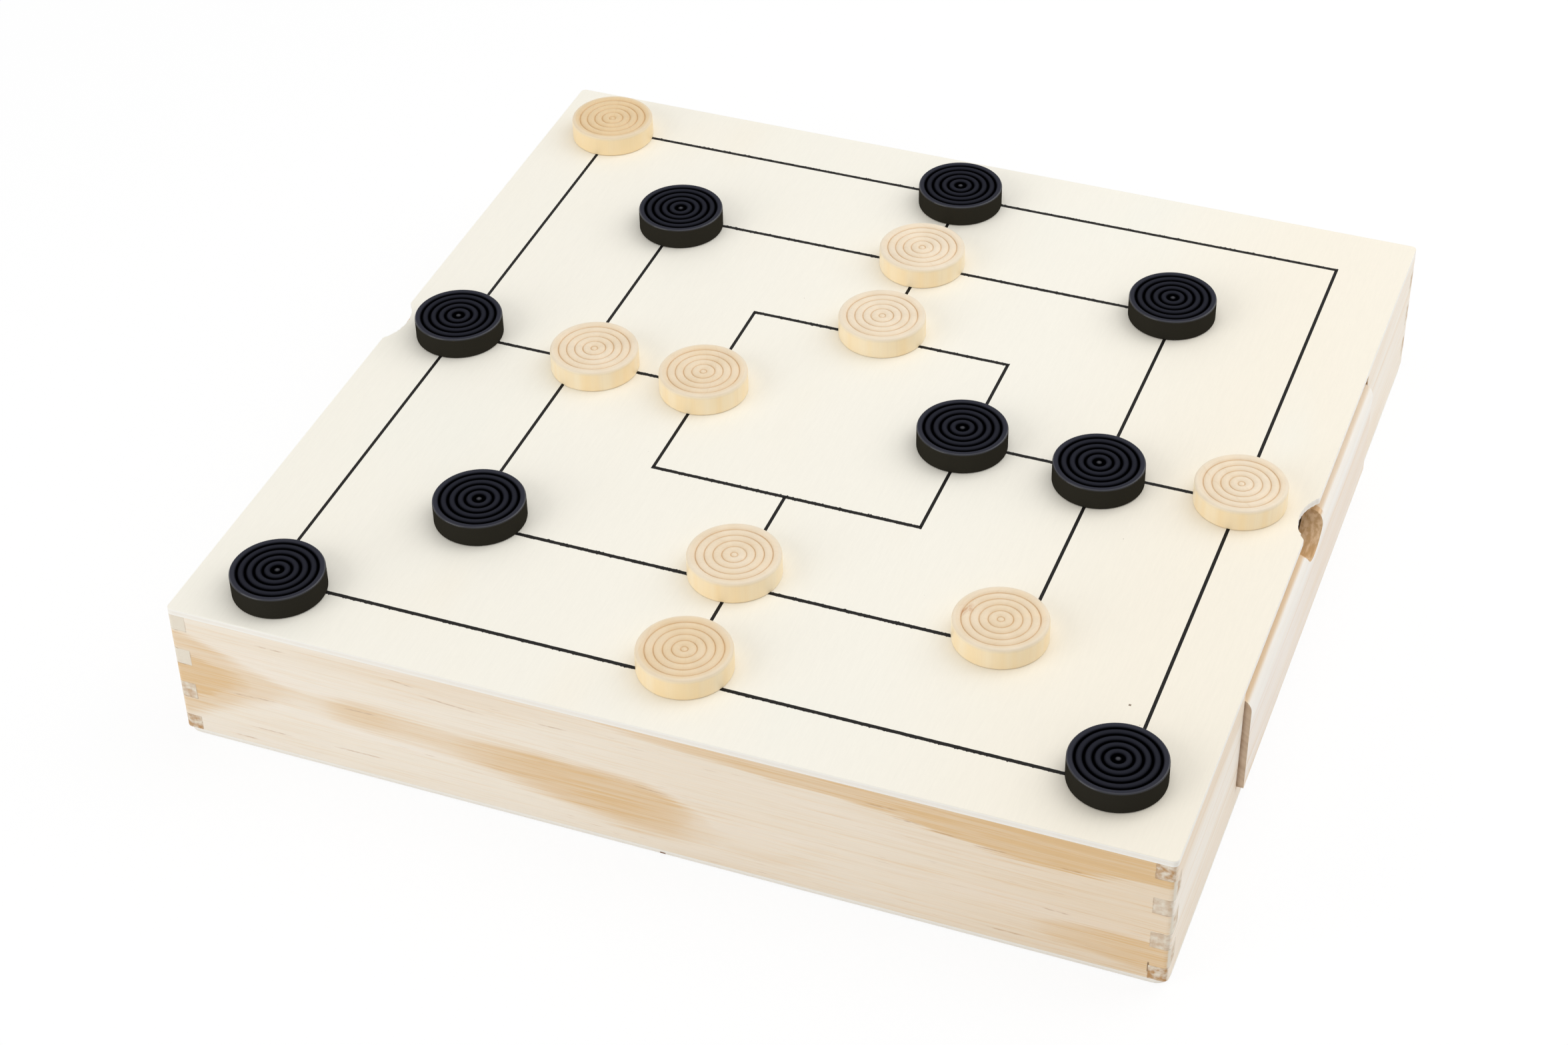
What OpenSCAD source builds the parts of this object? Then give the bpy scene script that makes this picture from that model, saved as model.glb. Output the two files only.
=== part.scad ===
/* [Box] */
// Width of the box, left to right, without the proud drawer fronts
box_w = 290; // [270:1:340]
// Depth of the box, near to far
box_d = 290; // [270:1:340]
// Height of the box from the lower board to the upper board
box_h = 46.5; // [42:0.5:60]
// Thickness of the upper board that carries the morris print
top_t = 2; // [1.5:0.1:4]
// Thickness of the lower board that carries the chequer print
base_t = 2; // [1.5:0.1:4]
// Thickness of the four frame walls
wall_t = 5.5; // [4.5:0.1:8]
// Radius of the sanded upright corners
corner_r = 1.6; // [0.8:0.1:3]
// Radius of the lower board's sanded corners, a little rounder than those above
base_corner_r = 4; // [2:0.5:6]
// Radius of the sanded outer edge of both boards
edge_r = 1.1; // [0.4:0.1:1.6]

/* [Corner fingers] */
// Height of a whole finger of a side wall
finger_h = 5.6; // [4:0.1:7]
// Height of the space between two fingers of a side wall
finger_space = 7; // [4:0.1:8]
// Height of the uppermost finger, which the wall's edge cuts short
first_finger_h = 5.4; // [3:0.1:5.7]

/* [Drawers] */
// Width of a drawer across its front
drawer_w = 150; // [130:1:240]
// Thickness of a drawer front
front_t = 8; // [6:0.5:12]
// How far a drawer front stands out of the wall
front_proud = 2; // [0:0.1:4]
// Radius of the rounded upper edge of a drawer front
front_round = 4; // [1:0.5:5]
// Gap between the upper board and a drawer front
front_top_gap = 3; // [1:0.1:4]
// Clearance beside and below a drawer
slide_gap = 0.5; // [0.3:0.1:1]
// Height of the wall's rail below a drawer, above the lower board
rail_h = 6.5; // [3:0.5:8]
// Thickness of the two drawer sides
drawer_side_t = 5; // [4:0.5:7]
// Thickness of the drawer back
drawer_back_t = 5; // [4:0.5:8]
// Thickness of the drawer floor
drawer_floor_t = 3; // [2:0.5:4]
// Gap between the upper board and the drawer sides
drawer_side_gap = 4; // [2:0.5:6]
// Gap between a drawer back and the stop behind it
back_gap = 1; // [0.5:0.5:4]

/* [Inner strips] */
// Width of the two runner strips that carry the drawers
runner_w = 14; // [10:1:24]
// Thickness of the two guide strips beside the drawers
guide_t = 6; // [4:0.5:12]
// Thickness of the stop strip between the two drawers
stop_t = 6; // [4:0.5:12]

/* [Thumb holes] */
// Radius of the bore through the upper edge of a drawer front
thumb_r = 11; // [8:0.5:13]
// Depth of that bore's centre below the box's upper face
thumb_drop = 1.5; // [0:0.1:3]
// Length of the scallop in the edge of the upper board
scallop_w = 20; // [14:0.5:26]
// Depth of the scallop in the edge of the upper board
scallop_depth = 3.6; // [2:0.1:5]

/* [Morris print] */
// Half side of the outer printed square
morris_half = 123.75; // [100:0.25:125]
// Number of printed squares, one inside the other
morris_rings = 3; // [3:1:4]
// Width of a printed line
line_w = 1; // [0.6:0.1:2]
// Thickness of the print, let in flush with the board
ink_t = 0.2; // [0.1:0.05:0.4]

/* [Chequer print] */
// Side of the whole chequered field
chequer_side = 248; // [200:1:256]
// Number of cells along one side
cell_count = 8; // [8:2:10]
// Unprinted gap round each dark cell
cell_gap = 0.15; // [0.1:0.05:0.4]
// Distance from the outer cells to the printed frame line
frame_gap = 2; // [1:0.5:5]

/* [Discs] */
// Diameter of a playing disc
disc_d = 27; // [23:0.5:30]
// Height of a playing disc
disc_h = 7; // [5:0.25:9]
// Number of turned grooves on each disc
groove_count = 5; // [2:1:6]
// Radius of the innermost groove
groove_first = 1.6; // [1:0.1:2]
// Width of the plain rim outside the outermost groove
rim_w = 1.8; // [1.4:0.1:3]
// Depth of a groove
groove_depth = 0.7; // [0.3:0.05:1.2]
// Radius of the disc's upper edge
rim_r = 0.9; // [0.3:0.1:1.2]
// Gap between a disc and the board or disc below it
disc_gap = 0.05; // [0.02:0.01:0.3]
// Spare discs of each colour, kept as a stack in a drawer
spare_discs = 3; // [1:1:3]

/* [Chess figures] */
// Height of a king with its cross
king_h = 50; // [42:0.5:58]
// Base diameter of a king
king_d = 19; // [16:0.5:21]
// Height of a queen
queen_h = 45; // [38:0.5:52]
// Base diameter of a queen
queen_d = 18; // [15:0.5:20]
// Height of a bishop
bishop_h = 40; // [34:0.5:46]
// Base diameter of a bishop
bishop_d = 16; // [14:0.5:18]
// Height of a knight
knight_h = 35; // [30:0.5:42]
// Base diameter of a knight
knight_d = 17; // [15:0.5:19]
// Thickness of a knight's head
knight_head_t = 7.5; // [5:0.5:10]
// Height of a rook
rook_h = 29; // [24:0.5:34]
// Base diameter of a rook
rook_d = 16; // [14:0.5:18]
// Height of a pawn
pawn_h = 26; // [22:0.5:30]
// Base diameter of a pawn
pawn_d = 14; // [12:0.5:15]
// Gap between a figure at rest and the drawer floor
lie_gap = 0.15; // [0.1:0.05:0.5]

/* [Hidden] */
$fn = 48;
eps = 0.01;
over = 1;
far = 400;

// Heights above the surface that the box stands on
wall_z = base_t;
wall_h = box_h - base_t - top_t;
board_z = box_h - top_t;
rail_z = base_t + rail_h;
drawer_z = rail_z + slide_gap;
drawer_floor_z = drawer_z + drawer_floor_t;
front_top_z = board_z - front_top_gap;
side_top_z = board_z - drawer_side_gap;

// Places across the box
front_x = box_w / 2 + front_proud;
front_back_x = front_x - front_t;
drawer_back_x = stop_t / 2 + back_gap;
inner_x = box_w / 2 - wall_t;
inner_y = box_d / 2 - wall_t;
opening_half = drawer_w / 2 + slide_gap;
tray_x = drawer_back_x + drawer_back_t;
tray_length = front_back_x - tray_x;
tray_half = drawer_w / 2 - drawer_side_t;

// Scallop of the upper board as part of a circle
scallop_r = (pow(scallop_w / 2, 2) + pow(scallop_depth, 2)) / (2 * scallop_depth);
scallop_x = box_w / 2 - scallop_depth + scallop_r;

// Fingers of the side walls, as bottom and top above the wall's lower edge
finger_step = finger_h + finger_space;
first_bottom = wall_h - first_finger_h;
fingers = concat(
    [[first_bottom, wall_h + over]],
    [for (top = [first_bottom - finger_space : -finger_step : 0]) [max(top - finger_h, -over), top]]
);

// Discs on the board, where the players left them, in steps from one printed square to the next
light_places = [
    [-2.993, 2.944],
    [-0.015, 2.022],
    [-0.007, 1.073],
    [-1.869, -0.022],
    [-1.005, -0.019],
    [3, 0.019],
    [-0.034, -1.876],
    [1.864, -1.901],
    [0.01, -2.879]
];
black_places = [
    [-0.005, 2.93],
    [-1.966, 1.903],
    [-2.99, 0.015],
    [1.968, 2.01],
    [0.983, -0.029],
    [2.007, -0.087],
    [-1.918, -1.915],
    [-2.879, -3.068],
    [2.956, -2.92]
];

// Three rows of figures across a drawer, as the room that each piece takes
row_widths = [
    [king_d, queen_d, bishop_d, bishop_d, knight_d, knight_d, pawn_d],
    [rook_d, rook_d, pawn_d, pawn_d, pawn_d, pawn_d, pawn_d, pawn_d],
    [pawn_d, disc_d, disc_d, disc_d, disc_d]
];
row_lengths = [king_h, max(rook_h, pawn_h), max(disc_d, pawn_h)];

TINTS = ["light", "black"];
SIDES = ["right", "left"];
FIGURES = ["king", "queen", "bishops", "knights", "rooks", "pawns"];
DRAWER_PARTS = ["front", "near_side", "far_side", "back", "floor"];

function total(list, count) = count <= 0 ? 0 : list[count - 1] + total(list, count - 1);
function spread(list, room) = (room - total(list, len(list))) / (len(list) + 1);
function place(list, room, i) = spread(list, room) * (i + 1) + total(list, i);
function row_x(row) = tray_x + place(row_lengths, tray_length, row);
function row_y(row, i) = place(row_widths[row], 2 * tray_half, i) + row_widths[row][i] / 2 - tray_half;
function paint(tint) = tint == "black" ? [0.07, 0.07, 0.08] : [0.9, 0.77, 0.57];
function turn(side) = side == "left" ? 180 : 0;

// Plan outline of the box with its upright corners sanded to radius r
module plan(r) {
    square([box_w - 2 * r, box_d], center = true);
    square([box_w, box_d - 2 * r], center = true);
    for (x = [-1, 1]) {
        for (y = [-1, 1]) {
            translate([x * (box_w / 2 - r), y * (box_d / 2 - r)]) circle(r);
        }
    }
}

// Edge-on outline of a board, width w and thickness t, sanded round along its upper edges
module board_edge(w, t) {
    translate([-w / 2, 0]) square([w, t - edge_r]);
    translate([edge_r - w / 2, 0]) square([w - 2 * edge_r, t]);
    for (x = [-1, 1]) {
        translate([x * (w / 2 - edge_r), t - edge_r]) circle(edge_r);
    }
}

// Board of thickness t and corner radius r with its sanded edge upwards
module board(t, r) {
    intersection() {
        linear_extrude(t) plan(r);
        rotate([90, 0, 0]) linear_extrude(far, center = true) board_edge(box_w, t);
        rotate([90, 0, 90]) linear_extrude(far, center = true) board_edge(box_d, t);
    }
}

// Lines of the game: squares one inside the other, joined at the middle of each side
module morris_plan() {
    step = morris_half / morris_rings;
    for (ring = [1 : morris_rings]) {
        difference() {
            square(2 * ring * step + line_w, center = true);
            square(2 * ring * step - line_w, center = true);
        }
    }
    for (angle = [0 : 90 : 270]) {
        rotate(angle) translate([step, -line_w / 2]) square([morris_half - step, line_w]);
    }
}

// Dark cells and the frame line round them
module chequer_plan() {
    cell = chequer_side / cell_count;
    half = chequer_side / 2;
    for (i = [0 : cell_count - 1]) {
        for (j = [0 : cell_count - 1]) {
            if ((i + j) % 2 == 1) {
                translate([i * cell - half + cell_gap, j * cell - half + cell_gap])
                    square(cell - 2 * cell_gap);
            }
        }
    }
    difference() {
        square(2 * (half + frame_gap + line_w), center = true);
        square(2 * (half + frame_gap), center = true);
    }
}

module top_board() {
    color([0.95, 0.93, 0.84]) difference() {
        translate([0, 0, board_z]) board(top_t, corner_r);
        for (x = [-1, 1]) {
            translate([x * scallop_x, 0, board_z - over]) cylinder(r = scallop_r, h = top_t + 2 * over);
        }
        translate([0, 0, box_h - ink_t]) linear_extrude(ink_t + over) morris_plan();
    }
}

module morris_lines() {
    color([0.1, 0.09, 0.08]) translate([0, 0, box_h - ink_t]) linear_extrude(ink_t) morris_plan();
}

module bottom_board() {
    color([0.95, 0.93, 0.84]) difference() {
        translate([0, 0, base_t]) mirror([0, 0, 1]) board(base_t, base_corner_r);
        translate([0, 0, -over]) linear_extrude(ink_t + over) chequer_plan();
    }
}

module chequer_squares() {
    color([0.1, 0.09, 0.08]) linear_extrude(ink_t) chequer_plan();
}

// Bands of the side walls' fingers, as wide as asked, along the near or the far wall
module finger_bands(y, width) {
    for (band = fingers) {
        translate([-far / 2, y, wall_z + band[0]]) cube([far, width, band[1] - band[0]]);
    }
}

// Near or far wall before it is put in place: slotted at both ends for the side walls' fingers
module end_wall(y) {
    color([0.91, 0.79, 0.63]) intersection() {
        translate([0, 0, wall_z]) linear_extrude(wall_h) plan(corner_r);
        difference() {
            translate([-far / 2, y, wall_z]) cube([far, wall_t, wall_h]);
            for (x = [-1, 1]) {
                intersection() {
                    translate([x * (inner_x + far / 2) - far / 2, y - over, wall_z - over])
                        cube([far, wall_t + 2 * over, wall_h + 2 * over]);
                    finger_bands(y - over, wall_t + 2 * over);
                }
            }
        }
    }
}

module front_wall() {
    end_wall(-box_d / 2);
}

module back_wall() {
    end_wall(inner_y);
}

// Side wall at the right: the length between the end walls, its fingers, less the drawer's opening
module side_wall() {
    color([0.93, 0.84, 0.71]) intersection() {
        translate([0, 0, wall_z]) linear_extrude(wall_h) plan(corner_r);
        difference() {
            union() {
                translate([inner_x, -inner_y, wall_z]) cube([wall_t, 2 * inner_y, wall_h]);
                intersection() {
                    translate([inner_x, -box_d / 2, wall_z]) cube([wall_t, box_d, wall_h]);
                    union() {
                        finger_bands(-box_d / 2, wall_t + over);
                        finger_bands(inner_y - over, wall_t + over);
                    }
                }
            }
            translate([inner_x - over, -opening_half, rail_z])
                cube([wall_t + 2 * over, 2 * opening_half, far]);
        }
    }
}

module right_wall() {
    side_wall();
}

module left_wall() {
    rotate(180) side_wall();
}

// Low strips that carry the edges of both drawers
module runner(y) {
    color([0.88, 0.78, 0.62])
        translate([-inner_x, y * (opening_half + guide_t - runner_w / 2) - runner_w / 2, base_t])
            cube([2 * inner_x, runner_w, rail_h]);
}

// Upright strips that guide both drawers and hold up the upper board
module guide(y) {
    color([0.88, 0.78, 0.62])
        translate([-inner_x, y * (opening_half + guide_t / 2) - guide_t / 2, rail_z])
            cube([2 * inner_x, guide_t, board_z - rail_z]);
}

module centre_stop() {
    color([0.88, 0.78, 0.62])
        translate([-stop_t / 2, -opening_half, rail_z]) cube([stop_t, 2 * opening_half, board_z - rail_z]);
}

// Upright outline of a drawer front, back to face, with its rounded upper edge
module front_outline() {
    difference() {
        translate([front_back_x, drawer_z]) square([front_t, front_top_z - drawer_z]);
        translate([front_x - front_round, front_top_z - front_round]) difference() {
            square(front_round + over);
            circle(front_round);
        }
    }
}

module drawer_front() {
    difference() {
        rotate([90, 0, 0]) linear_extrude(drawer_w, center = true) front_outline();
        translate([front_back_x - over, 0, box_h - thumb_drop]) rotate([0, 90, 0])
            cylinder(r = thumb_r, h = front_t + 2 * over);
    }
}

// One drawer at the right, by the name of its part
module drawer_part(piece) {
    side_length = front_back_x - drawer_back_x;
    side_h = side_top_z - drawer_floor_z;
    if (piece == "front") {
        drawer_front();
    }
    if (piece == "near_side") {
        translate([drawer_back_x, -drawer_w / 2, drawer_floor_z]) cube([side_length, drawer_side_t, side_h]);
    }
    if (piece == "far_side") {
        translate([drawer_back_x, tray_half, drawer_floor_z]) cube([side_length, drawer_side_t, side_h]);
    }
    if (piece == "back") {
        translate([drawer_back_x, -tray_half, drawer_floor_z]) cube([drawer_back_t, 2 * tray_half, side_h]);
    }
    if (piece == "floor") {
        translate([drawer_back_x, -drawer_w / 2, drawer_z]) cube([side_length, drawer_w, drawer_floor_t]);
    }
}

// Half outline of a disc: rounded rim and rounded ridges between the grooves
groove_pitch = (disc_d / 2 - rim_w - groove_first) / (groove_count - 1);
function groove_at(i) = groove_first + i * groove_pitch;
function valley(ridge, rise) = disc_h - groove_depth * (1 - rise * ridge);
disc_steps = 4;
disc_foot = 0.4;
button_rise = 0.6;
rim_start = disc_d / 2 - rim_w;
rim_top = disc_d / 2 - min(rim_w / 2, rim_r);
disc_outline = concat(
    [[0, 0], [disc_d / 2 - disc_foot, 0], [disc_d / 2, disc_foot]],
    [for (a = [0 : 30 : 90]) [rim_top + (disc_d / 2 - rim_top) * cos(a), disc_h - rim_r * (1 - sin(a))]],
    [for (i = [1 : disc_steps]) [
        rim_top - (rim_top - rim_start) * i / disc_steps,
        valley(cos(90 * i / disc_steps), 1)
    ]],
    [for (ring = [groove_count - 2 : -1 : 0]) for (i = [1 : disc_steps]) [
        groove_at(ring + 1) - groove_pitch * i / disc_steps,
        valley(sin(180 * i / disc_steps), 1)
    ]],
    [for (i = [1 : disc_steps]) [
        groove_first * (1 - i / disc_steps),
        valley(sin(90 * i / disc_steps), button_rise)
    ]]
);

module disc(tint) {
    color(paint(tint)) rotate_extrude() polygon(disc_outline);
}

module board_disc(tint, spot) {
    step = morris_half / morris_rings;
    translate([spot[0] * step, spot[1] * step, box_h + disc_gap]) disc(tint);
}

// Stack of spare discs in the front row of a drawer
module spare_stack(tint) {
    last = len(row_widths[2]) - 1;
    for (i = [0 : spare_discs - 1]) {
        translate([
            row_x(2) + row_lengths[2] / 2,
            row_y(2, last),
            drawer_floor_z + disc_gap + i * (disc_h + disc_gap)
        ])
            disc(tint);
    }
}

// Turned foot, hollow stem and collar that every figure shares
foot_share = 0.1;
stem_steps = 6;
module turned(h, r, neck_z, neck_r, collar_r) {
    foot_h = foot_share * h;
    collar_h = foot_share * h / 2;
    rotate_extrude() polygon(concat(
        [[0, 0], [r, 0], [r, foot_h]],
        [for (i = [0 : stem_steps]) [
            neck_r + (0.82 * r - neck_r) * pow(1 - i / stem_steps, 2),
            foot_h + (neck_z - foot_h) * i / stem_steps
        ]],
        [[collar_r, neck_z], [collar_r, neck_z + collar_h], [0, neck_z + collar_h]]
    ));
}

module pawn() {
    head_r = 0.33 * pawn_d;
    turned(pawn_h, pawn_d / 2, pawn_h - 2.05 * head_r, 0.17 * pawn_d, 0.3 * pawn_d);
    translate([0, 0, pawn_h - head_r]) sphere(head_r);
}

// Tower: four slots across a hollow top
module rook() {
    top_r = 0.4 * rook_d;
    top_h = 0.22 * rook_h;
    turned(rook_h, rook_d / 2, rook_h - 1.2 * top_h, 0.26 * rook_d, 0.36 * rook_d);
    translate([0, 0, rook_h - top_h]) difference() {
        cylinder(r = top_r, h = top_h);
        translate([0, 0, top_h / 2]) cylinder(r = 0.65 * top_r, h = top_h);
        for (angle = [0, 90]) {
            rotate(angle) translate([0, 0, top_h])
                cube([3 * top_r, 0.35 * top_r, 0.7 * top_h], center = true);
        }
    }
}

// Mitre: pointed oval with a slanting slit and a small ball
module bishop() {
    ball_r = 0.09 * bishop_d;
    mitre_z = 0.66 * bishop_h;
    mitre_h = bishop_h - mitre_z - 1.3 * ball_r;
    mitre_r = 0.25 * bishop_d;
    turned(bishop_h, bishop_d / 2, mitre_z - 0.04 * bishop_h, 0.15 * bishop_d, 0.3 * bishop_d);
    difference() {
        translate([0, 0, mitre_z]) rotate_extrude() polygon(concat(
            [[0, -over]],
            [for (a = [-40 : 20 : 80]) [mitre_r * cos(a), mitre_h * (0.4 + 0.6 * sin(a))]],
            [[0, mitre_h]]
        ));
        translate([mitre_r, 0, mitre_z + 0.8 * mitre_h]) rotate([0, -50, 0])
            cube([0.9 * mitre_r, 4 * mitre_r, 0.2 * mitre_r], center = true);
    }
    translate([0, 0, bishop_h - ball_r]) sphere(ball_r);
}

// Coronet: flared cup with a ball inside
module queen() {
    cup_z = 0.74 * queen_h;
    cup_h = 0.2 * queen_h;
    turned(queen_h, queen_d / 2, cup_z - 0.05 * queen_h, 0.14 * queen_d, 0.3 * queen_d);
    translate([0, 0, cup_z - over]) cylinder(r1 = 0.16 * queen_d, r2 = 0.3 * queen_d, h = cup_h + over);
    translate([0, 0, queen_h - 0.11 * queen_d]) sphere(0.11 * queen_d);
}

// Crown: flared cup, low dome and a plain cross
module king() {
    cup_z = 0.7 * king_h;
    cup_h = 0.16 * king_h;
    bar = 0.09 * king_d;
    turned(king_h, king_d / 2, cup_z - 0.05 * king_h, 0.15 * king_d, 0.3 * king_d);
    translate([0, 0, cup_z - over]) cylinder(r1 = 0.16 * king_d, r2 = 0.29 * king_d, h = cup_h + over);
    translate([0, 0, cup_z + cup_h - eps])
        cylinder(r1 = 0.25 * king_d, r2 = 0.08 * king_d, h = 0.04 * king_h);
    translate([-bar / 2, -bar / 2, cup_z + cup_h]) cube([bar, bar, king_h - cup_z - cup_h]);
    translate([-bar / 2, -1.6 * bar, king_h - 2.4 * bar]) cube([bar, 3.2 * bar, bar]);
}

// Horse's head, cut from a board and set on the turned foot
module knight() {
    foot_h = 0.3 * knight_h;
    head_h = knight_h - foot_h;
    half = 0.46 * knight_d;
    turned(knight_h, knight_d / 2, foot_h - 0.05 * knight_h, 0.3 * knight_d, 0.4 * knight_d);
    translate([-knight_head_t / 2, 0, foot_h - over]) rotate([90, 0, 90])
        linear_extrude(knight_head_t) polygon([
        [-0.7 * half, 0],
        [-0.95 * half, 0.35 * head_h],
        [-0.85 * half, 0.65 * head_h],
        [-0.5 * half, 0.9 * head_h],
        [-0.2 * half, head_h],
        [0.1 * half, 0.92 * head_h],
        [0.45 * half, 0.75 * head_h],
        [0.95 * half, 0.5 * head_h],
        [half, 0.38 * head_h],
        [0.7 * half, 0.28 * head_h],
        [0.3 * half, 0.4 * head_h],
        [0.1 * half, 0.38 * head_h],
        [0.35 * half, 0.2 * head_h],
        [0.7 * half, 0]
    ]);
}

// A figure laid on the drawer floor: it rests on its foot and on the widest place near its head
module lay(row, i, h, d, top_z, top_r) {
    foot_h = foot_share * h;
    tilt = atan((d / 2 - top_r) / (top_z - foot_h));
    lift = foot_h * sin(tilt) + d / 2 * cos(tilt);
    translate([row_x(row) + d / 2 * sin(tilt), row_y(row, i), drawer_floor_z + lie_gap + lift])
        rotate([0, 90 + tilt, 0]) children();
}

module figures(name) {
    if (name == "king") {
        lay(0, 0, king_h, king_d, 0.86 * king_h, 0.29 * king_d) king();
    }
    if (name == "queen") {
        lay(0, 1, queen_h, queen_d, 0.94 * queen_h, 0.3 * queen_d) queen();
    }
    if (name == "bishops") {
        for (i = [2, 3]) {
            lay(0, i, bishop_h, bishop_d, 0.69 * bishop_h, 0.3 * bishop_d) bishop();
        }
    }
    if (name == "knights") {
        for (i = [4, 5]) {
            lay(0, i, knight_h, knight_d, knight_h, knight_head_t / 2) knight();
        }
    }
    if (name == "rooks") {
        for (i = [0, 1]) {
            lay(1, i, rook_h, rook_d, rook_h, 0.4 * rook_d) rook();
        }
    }
    if (name == "pawns") {
        for (spot = concat([[0, 6], [2, 0]], [for (i = [2 : 7]) [1, i]])) {
            lay(spot[0], spot[1], pawn_h, pawn_d, pawn_h - 0.33 * pawn_d, 0.33 * pawn_d) pawn();
        }
    }
}

front_wall();
back_wall();
left_wall();
right_wall();
top_board();
bottom_board();
morris_lines();
chequer_squares();
runner(-1);  // front_runner
runner(1);  // back_runner
guide(-1);  // front_guide
guide(1);  // back_guide
centre_stop();
for (side = SIDES) {
    for (piece = DRAWER_PARTS) {
        union() {
            color([0.93, 0.84, 0.71]) rotate(turn(side)) drawer_part(piece);
        }
    }
}
for (i = [0 : 8]) {
    board_disc("light", light_places[i]);
    board_disc("black", black_places[i]);
}
for (k = [0, 1]) {
    union() {
        rotate(turn(SIDES[k])) spare_stack(TINTS[k]);
    }
    for (name = FIGURES) {
        union() {
            color(paint(TINTS[k])) rotate(turn(SIDES[k])) figures(name);
        }
    }
}
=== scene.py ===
# %% [markdown]
# A three-in-one game set: a flat box of pale wood with a morris board on top, a chequered board
# underneath, two drawers and the pieces of the games. The measured model comes first and stays as
# it is. Every piece made below takes its place from it, in metres, and then hides the plain solid
# that it stands for. Reading places from the model, and not typing them again, keeps the two in step.

# %% Load the measured model
import functools
import math

import bmesh
import bpy
from mathutils import Matrix, Vector, noise


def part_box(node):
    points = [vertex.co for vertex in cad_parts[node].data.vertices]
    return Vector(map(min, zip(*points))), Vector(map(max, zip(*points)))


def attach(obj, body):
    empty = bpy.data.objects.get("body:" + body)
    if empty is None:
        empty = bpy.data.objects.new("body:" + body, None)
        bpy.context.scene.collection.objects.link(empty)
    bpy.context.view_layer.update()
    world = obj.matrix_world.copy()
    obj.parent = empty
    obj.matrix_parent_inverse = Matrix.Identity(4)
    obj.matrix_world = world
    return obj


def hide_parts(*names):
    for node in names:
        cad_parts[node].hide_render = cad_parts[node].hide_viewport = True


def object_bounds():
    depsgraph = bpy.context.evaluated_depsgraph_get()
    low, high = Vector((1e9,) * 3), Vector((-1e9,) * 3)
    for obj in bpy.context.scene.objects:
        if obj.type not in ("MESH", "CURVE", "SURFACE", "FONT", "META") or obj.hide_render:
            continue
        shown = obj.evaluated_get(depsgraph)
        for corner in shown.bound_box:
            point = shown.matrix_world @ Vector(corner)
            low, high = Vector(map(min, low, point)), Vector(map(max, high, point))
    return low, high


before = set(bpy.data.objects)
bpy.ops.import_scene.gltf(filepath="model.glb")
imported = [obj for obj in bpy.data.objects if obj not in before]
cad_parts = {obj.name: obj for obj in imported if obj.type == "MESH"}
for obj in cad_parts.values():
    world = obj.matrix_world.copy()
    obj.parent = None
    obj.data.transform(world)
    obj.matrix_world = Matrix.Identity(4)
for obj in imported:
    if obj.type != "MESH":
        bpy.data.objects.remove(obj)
measured_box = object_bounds()
MM = 0.001
board_lo, board_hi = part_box("top_board")
base_lo, base_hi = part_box("bottom_board")
front_lo, front_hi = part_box("front_wall")
WALL = front_hi.y - front_lo.y
INNER = board_hi.x - WALL
size = measured_box[1] - measured_box[0]
print("box", [round(v / MM, 1) for v in size], "mm, wall", round(WALL / MM, 2))

# %% [markdown]
# The camera stands where the photographer stood. Its place and lens were solved from the printed
# squares, whose corners are known to lie on a true square grid: that fixes the angle, the distance
# and the focal length together, with no lens shift. A camera in Blender looks down its own -Z, so
# the three turns read: roll a little, tip up from looking straight down, then swing round the box.

# %% Camera
CAMERA_PLACE = (0.25441, -0.68961, 0.60947)
CAMERA_SWING = 21.4606
CAMERA_TIP = 50.58
CAMERA_ROLL = -1.1513
LENS_MM = 71.221
SENSOR_MM = 36


def turn(degrees, axis):
    return Matrix.Rotation(math.radians(degrees), 4, axis)


def add_object(name, data):
    """Puts a new object into the scene."""
    made = bpy.data.objects.new(name, data)
    bpy.context.scene.collection.objects.link(made)
    return made


def make_camera():
    lens = bpy.data.cameras.new("camera")
    lens.lens = LENS_MM
    lens.sensor_width = SENSOR_MM
    camera = add_object("camera", lens)
    turns = turn(CAMERA_SWING, "Z") @ turn(CAMERA_TIP, "X") @ turn(CAMERA_ROLL, "Z")
    camera.matrix_world = Matrix.Translation(CAMERA_PLACE) @ turns
    return camera


bpy.context.scene.camera = make_camera()
bpy.context.scene.view_settings.view_transform = "Standard"
print("camera at", CAMERA_PLACE, "lens", LENS_MM, "mm")

# %% [markdown]
# Every finish is a small tree of shader nodes. Building one by hand takes dozens of lines, so a
# number that changes over a surface is wrapped in a class with Python's own operators: writing
# `1 - mask` adds the Math node and its links. The reflected forms (`__rsub__` and the like) are what
# lets a plain number stand on the left. Most operators differ only in the node's setting, so a table
# makes them.

# %% A number that changes over a surface
class Value:
    """A socket of a finish. Arithmetic on it adds Math nodes."""

    def __init__(self, finish, socket):
        self.finish = finish
        self.socket = socket

    def math(self, operation, *terms):
        return self.finish.node("ShaderNodeMath", {"operation": operation}, dict(enumerate(terms)))

    def __rsub__(self, other):
        return self.math("SUBTRACT", other, self)

    def __abs__(self):
        return self.math("ABSOLUTE", self)

    def step(self, start, end):
        """A soft step from 0 at start to 1 at end. It falls where start is the larger."""
        inputs = {"Value": self, "From Min": start, "From Max": end}
        return self.finish.node("ShaderNodeMapRange", {"interpolation_type": "SMOOTHSTEP"}, inputs)


OPERATORS = {
    "__add__": "ADD", "__radd__": "ADD", "__sub__": "SUBTRACT", "__mul__": "MULTIPLY",
    "__rmul__": "MULTIPLY", "__truediv__": "DIVIDE", "__mod__": "FLOORED_MODULO",
    "__pow__": "POWER", "least": "MINIMUM", "most": "MAXIMUM",
}


def two_terms(operation):
    return lambda self, other: self.math(operation, self, other)


for name, operation in OPERATORS.items():
    setattr(Value, name, two_terms(operation))


def strongest(values):
    """The largest of several numbers at each point."""
    return functools.reduce(Value.most, values)


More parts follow.
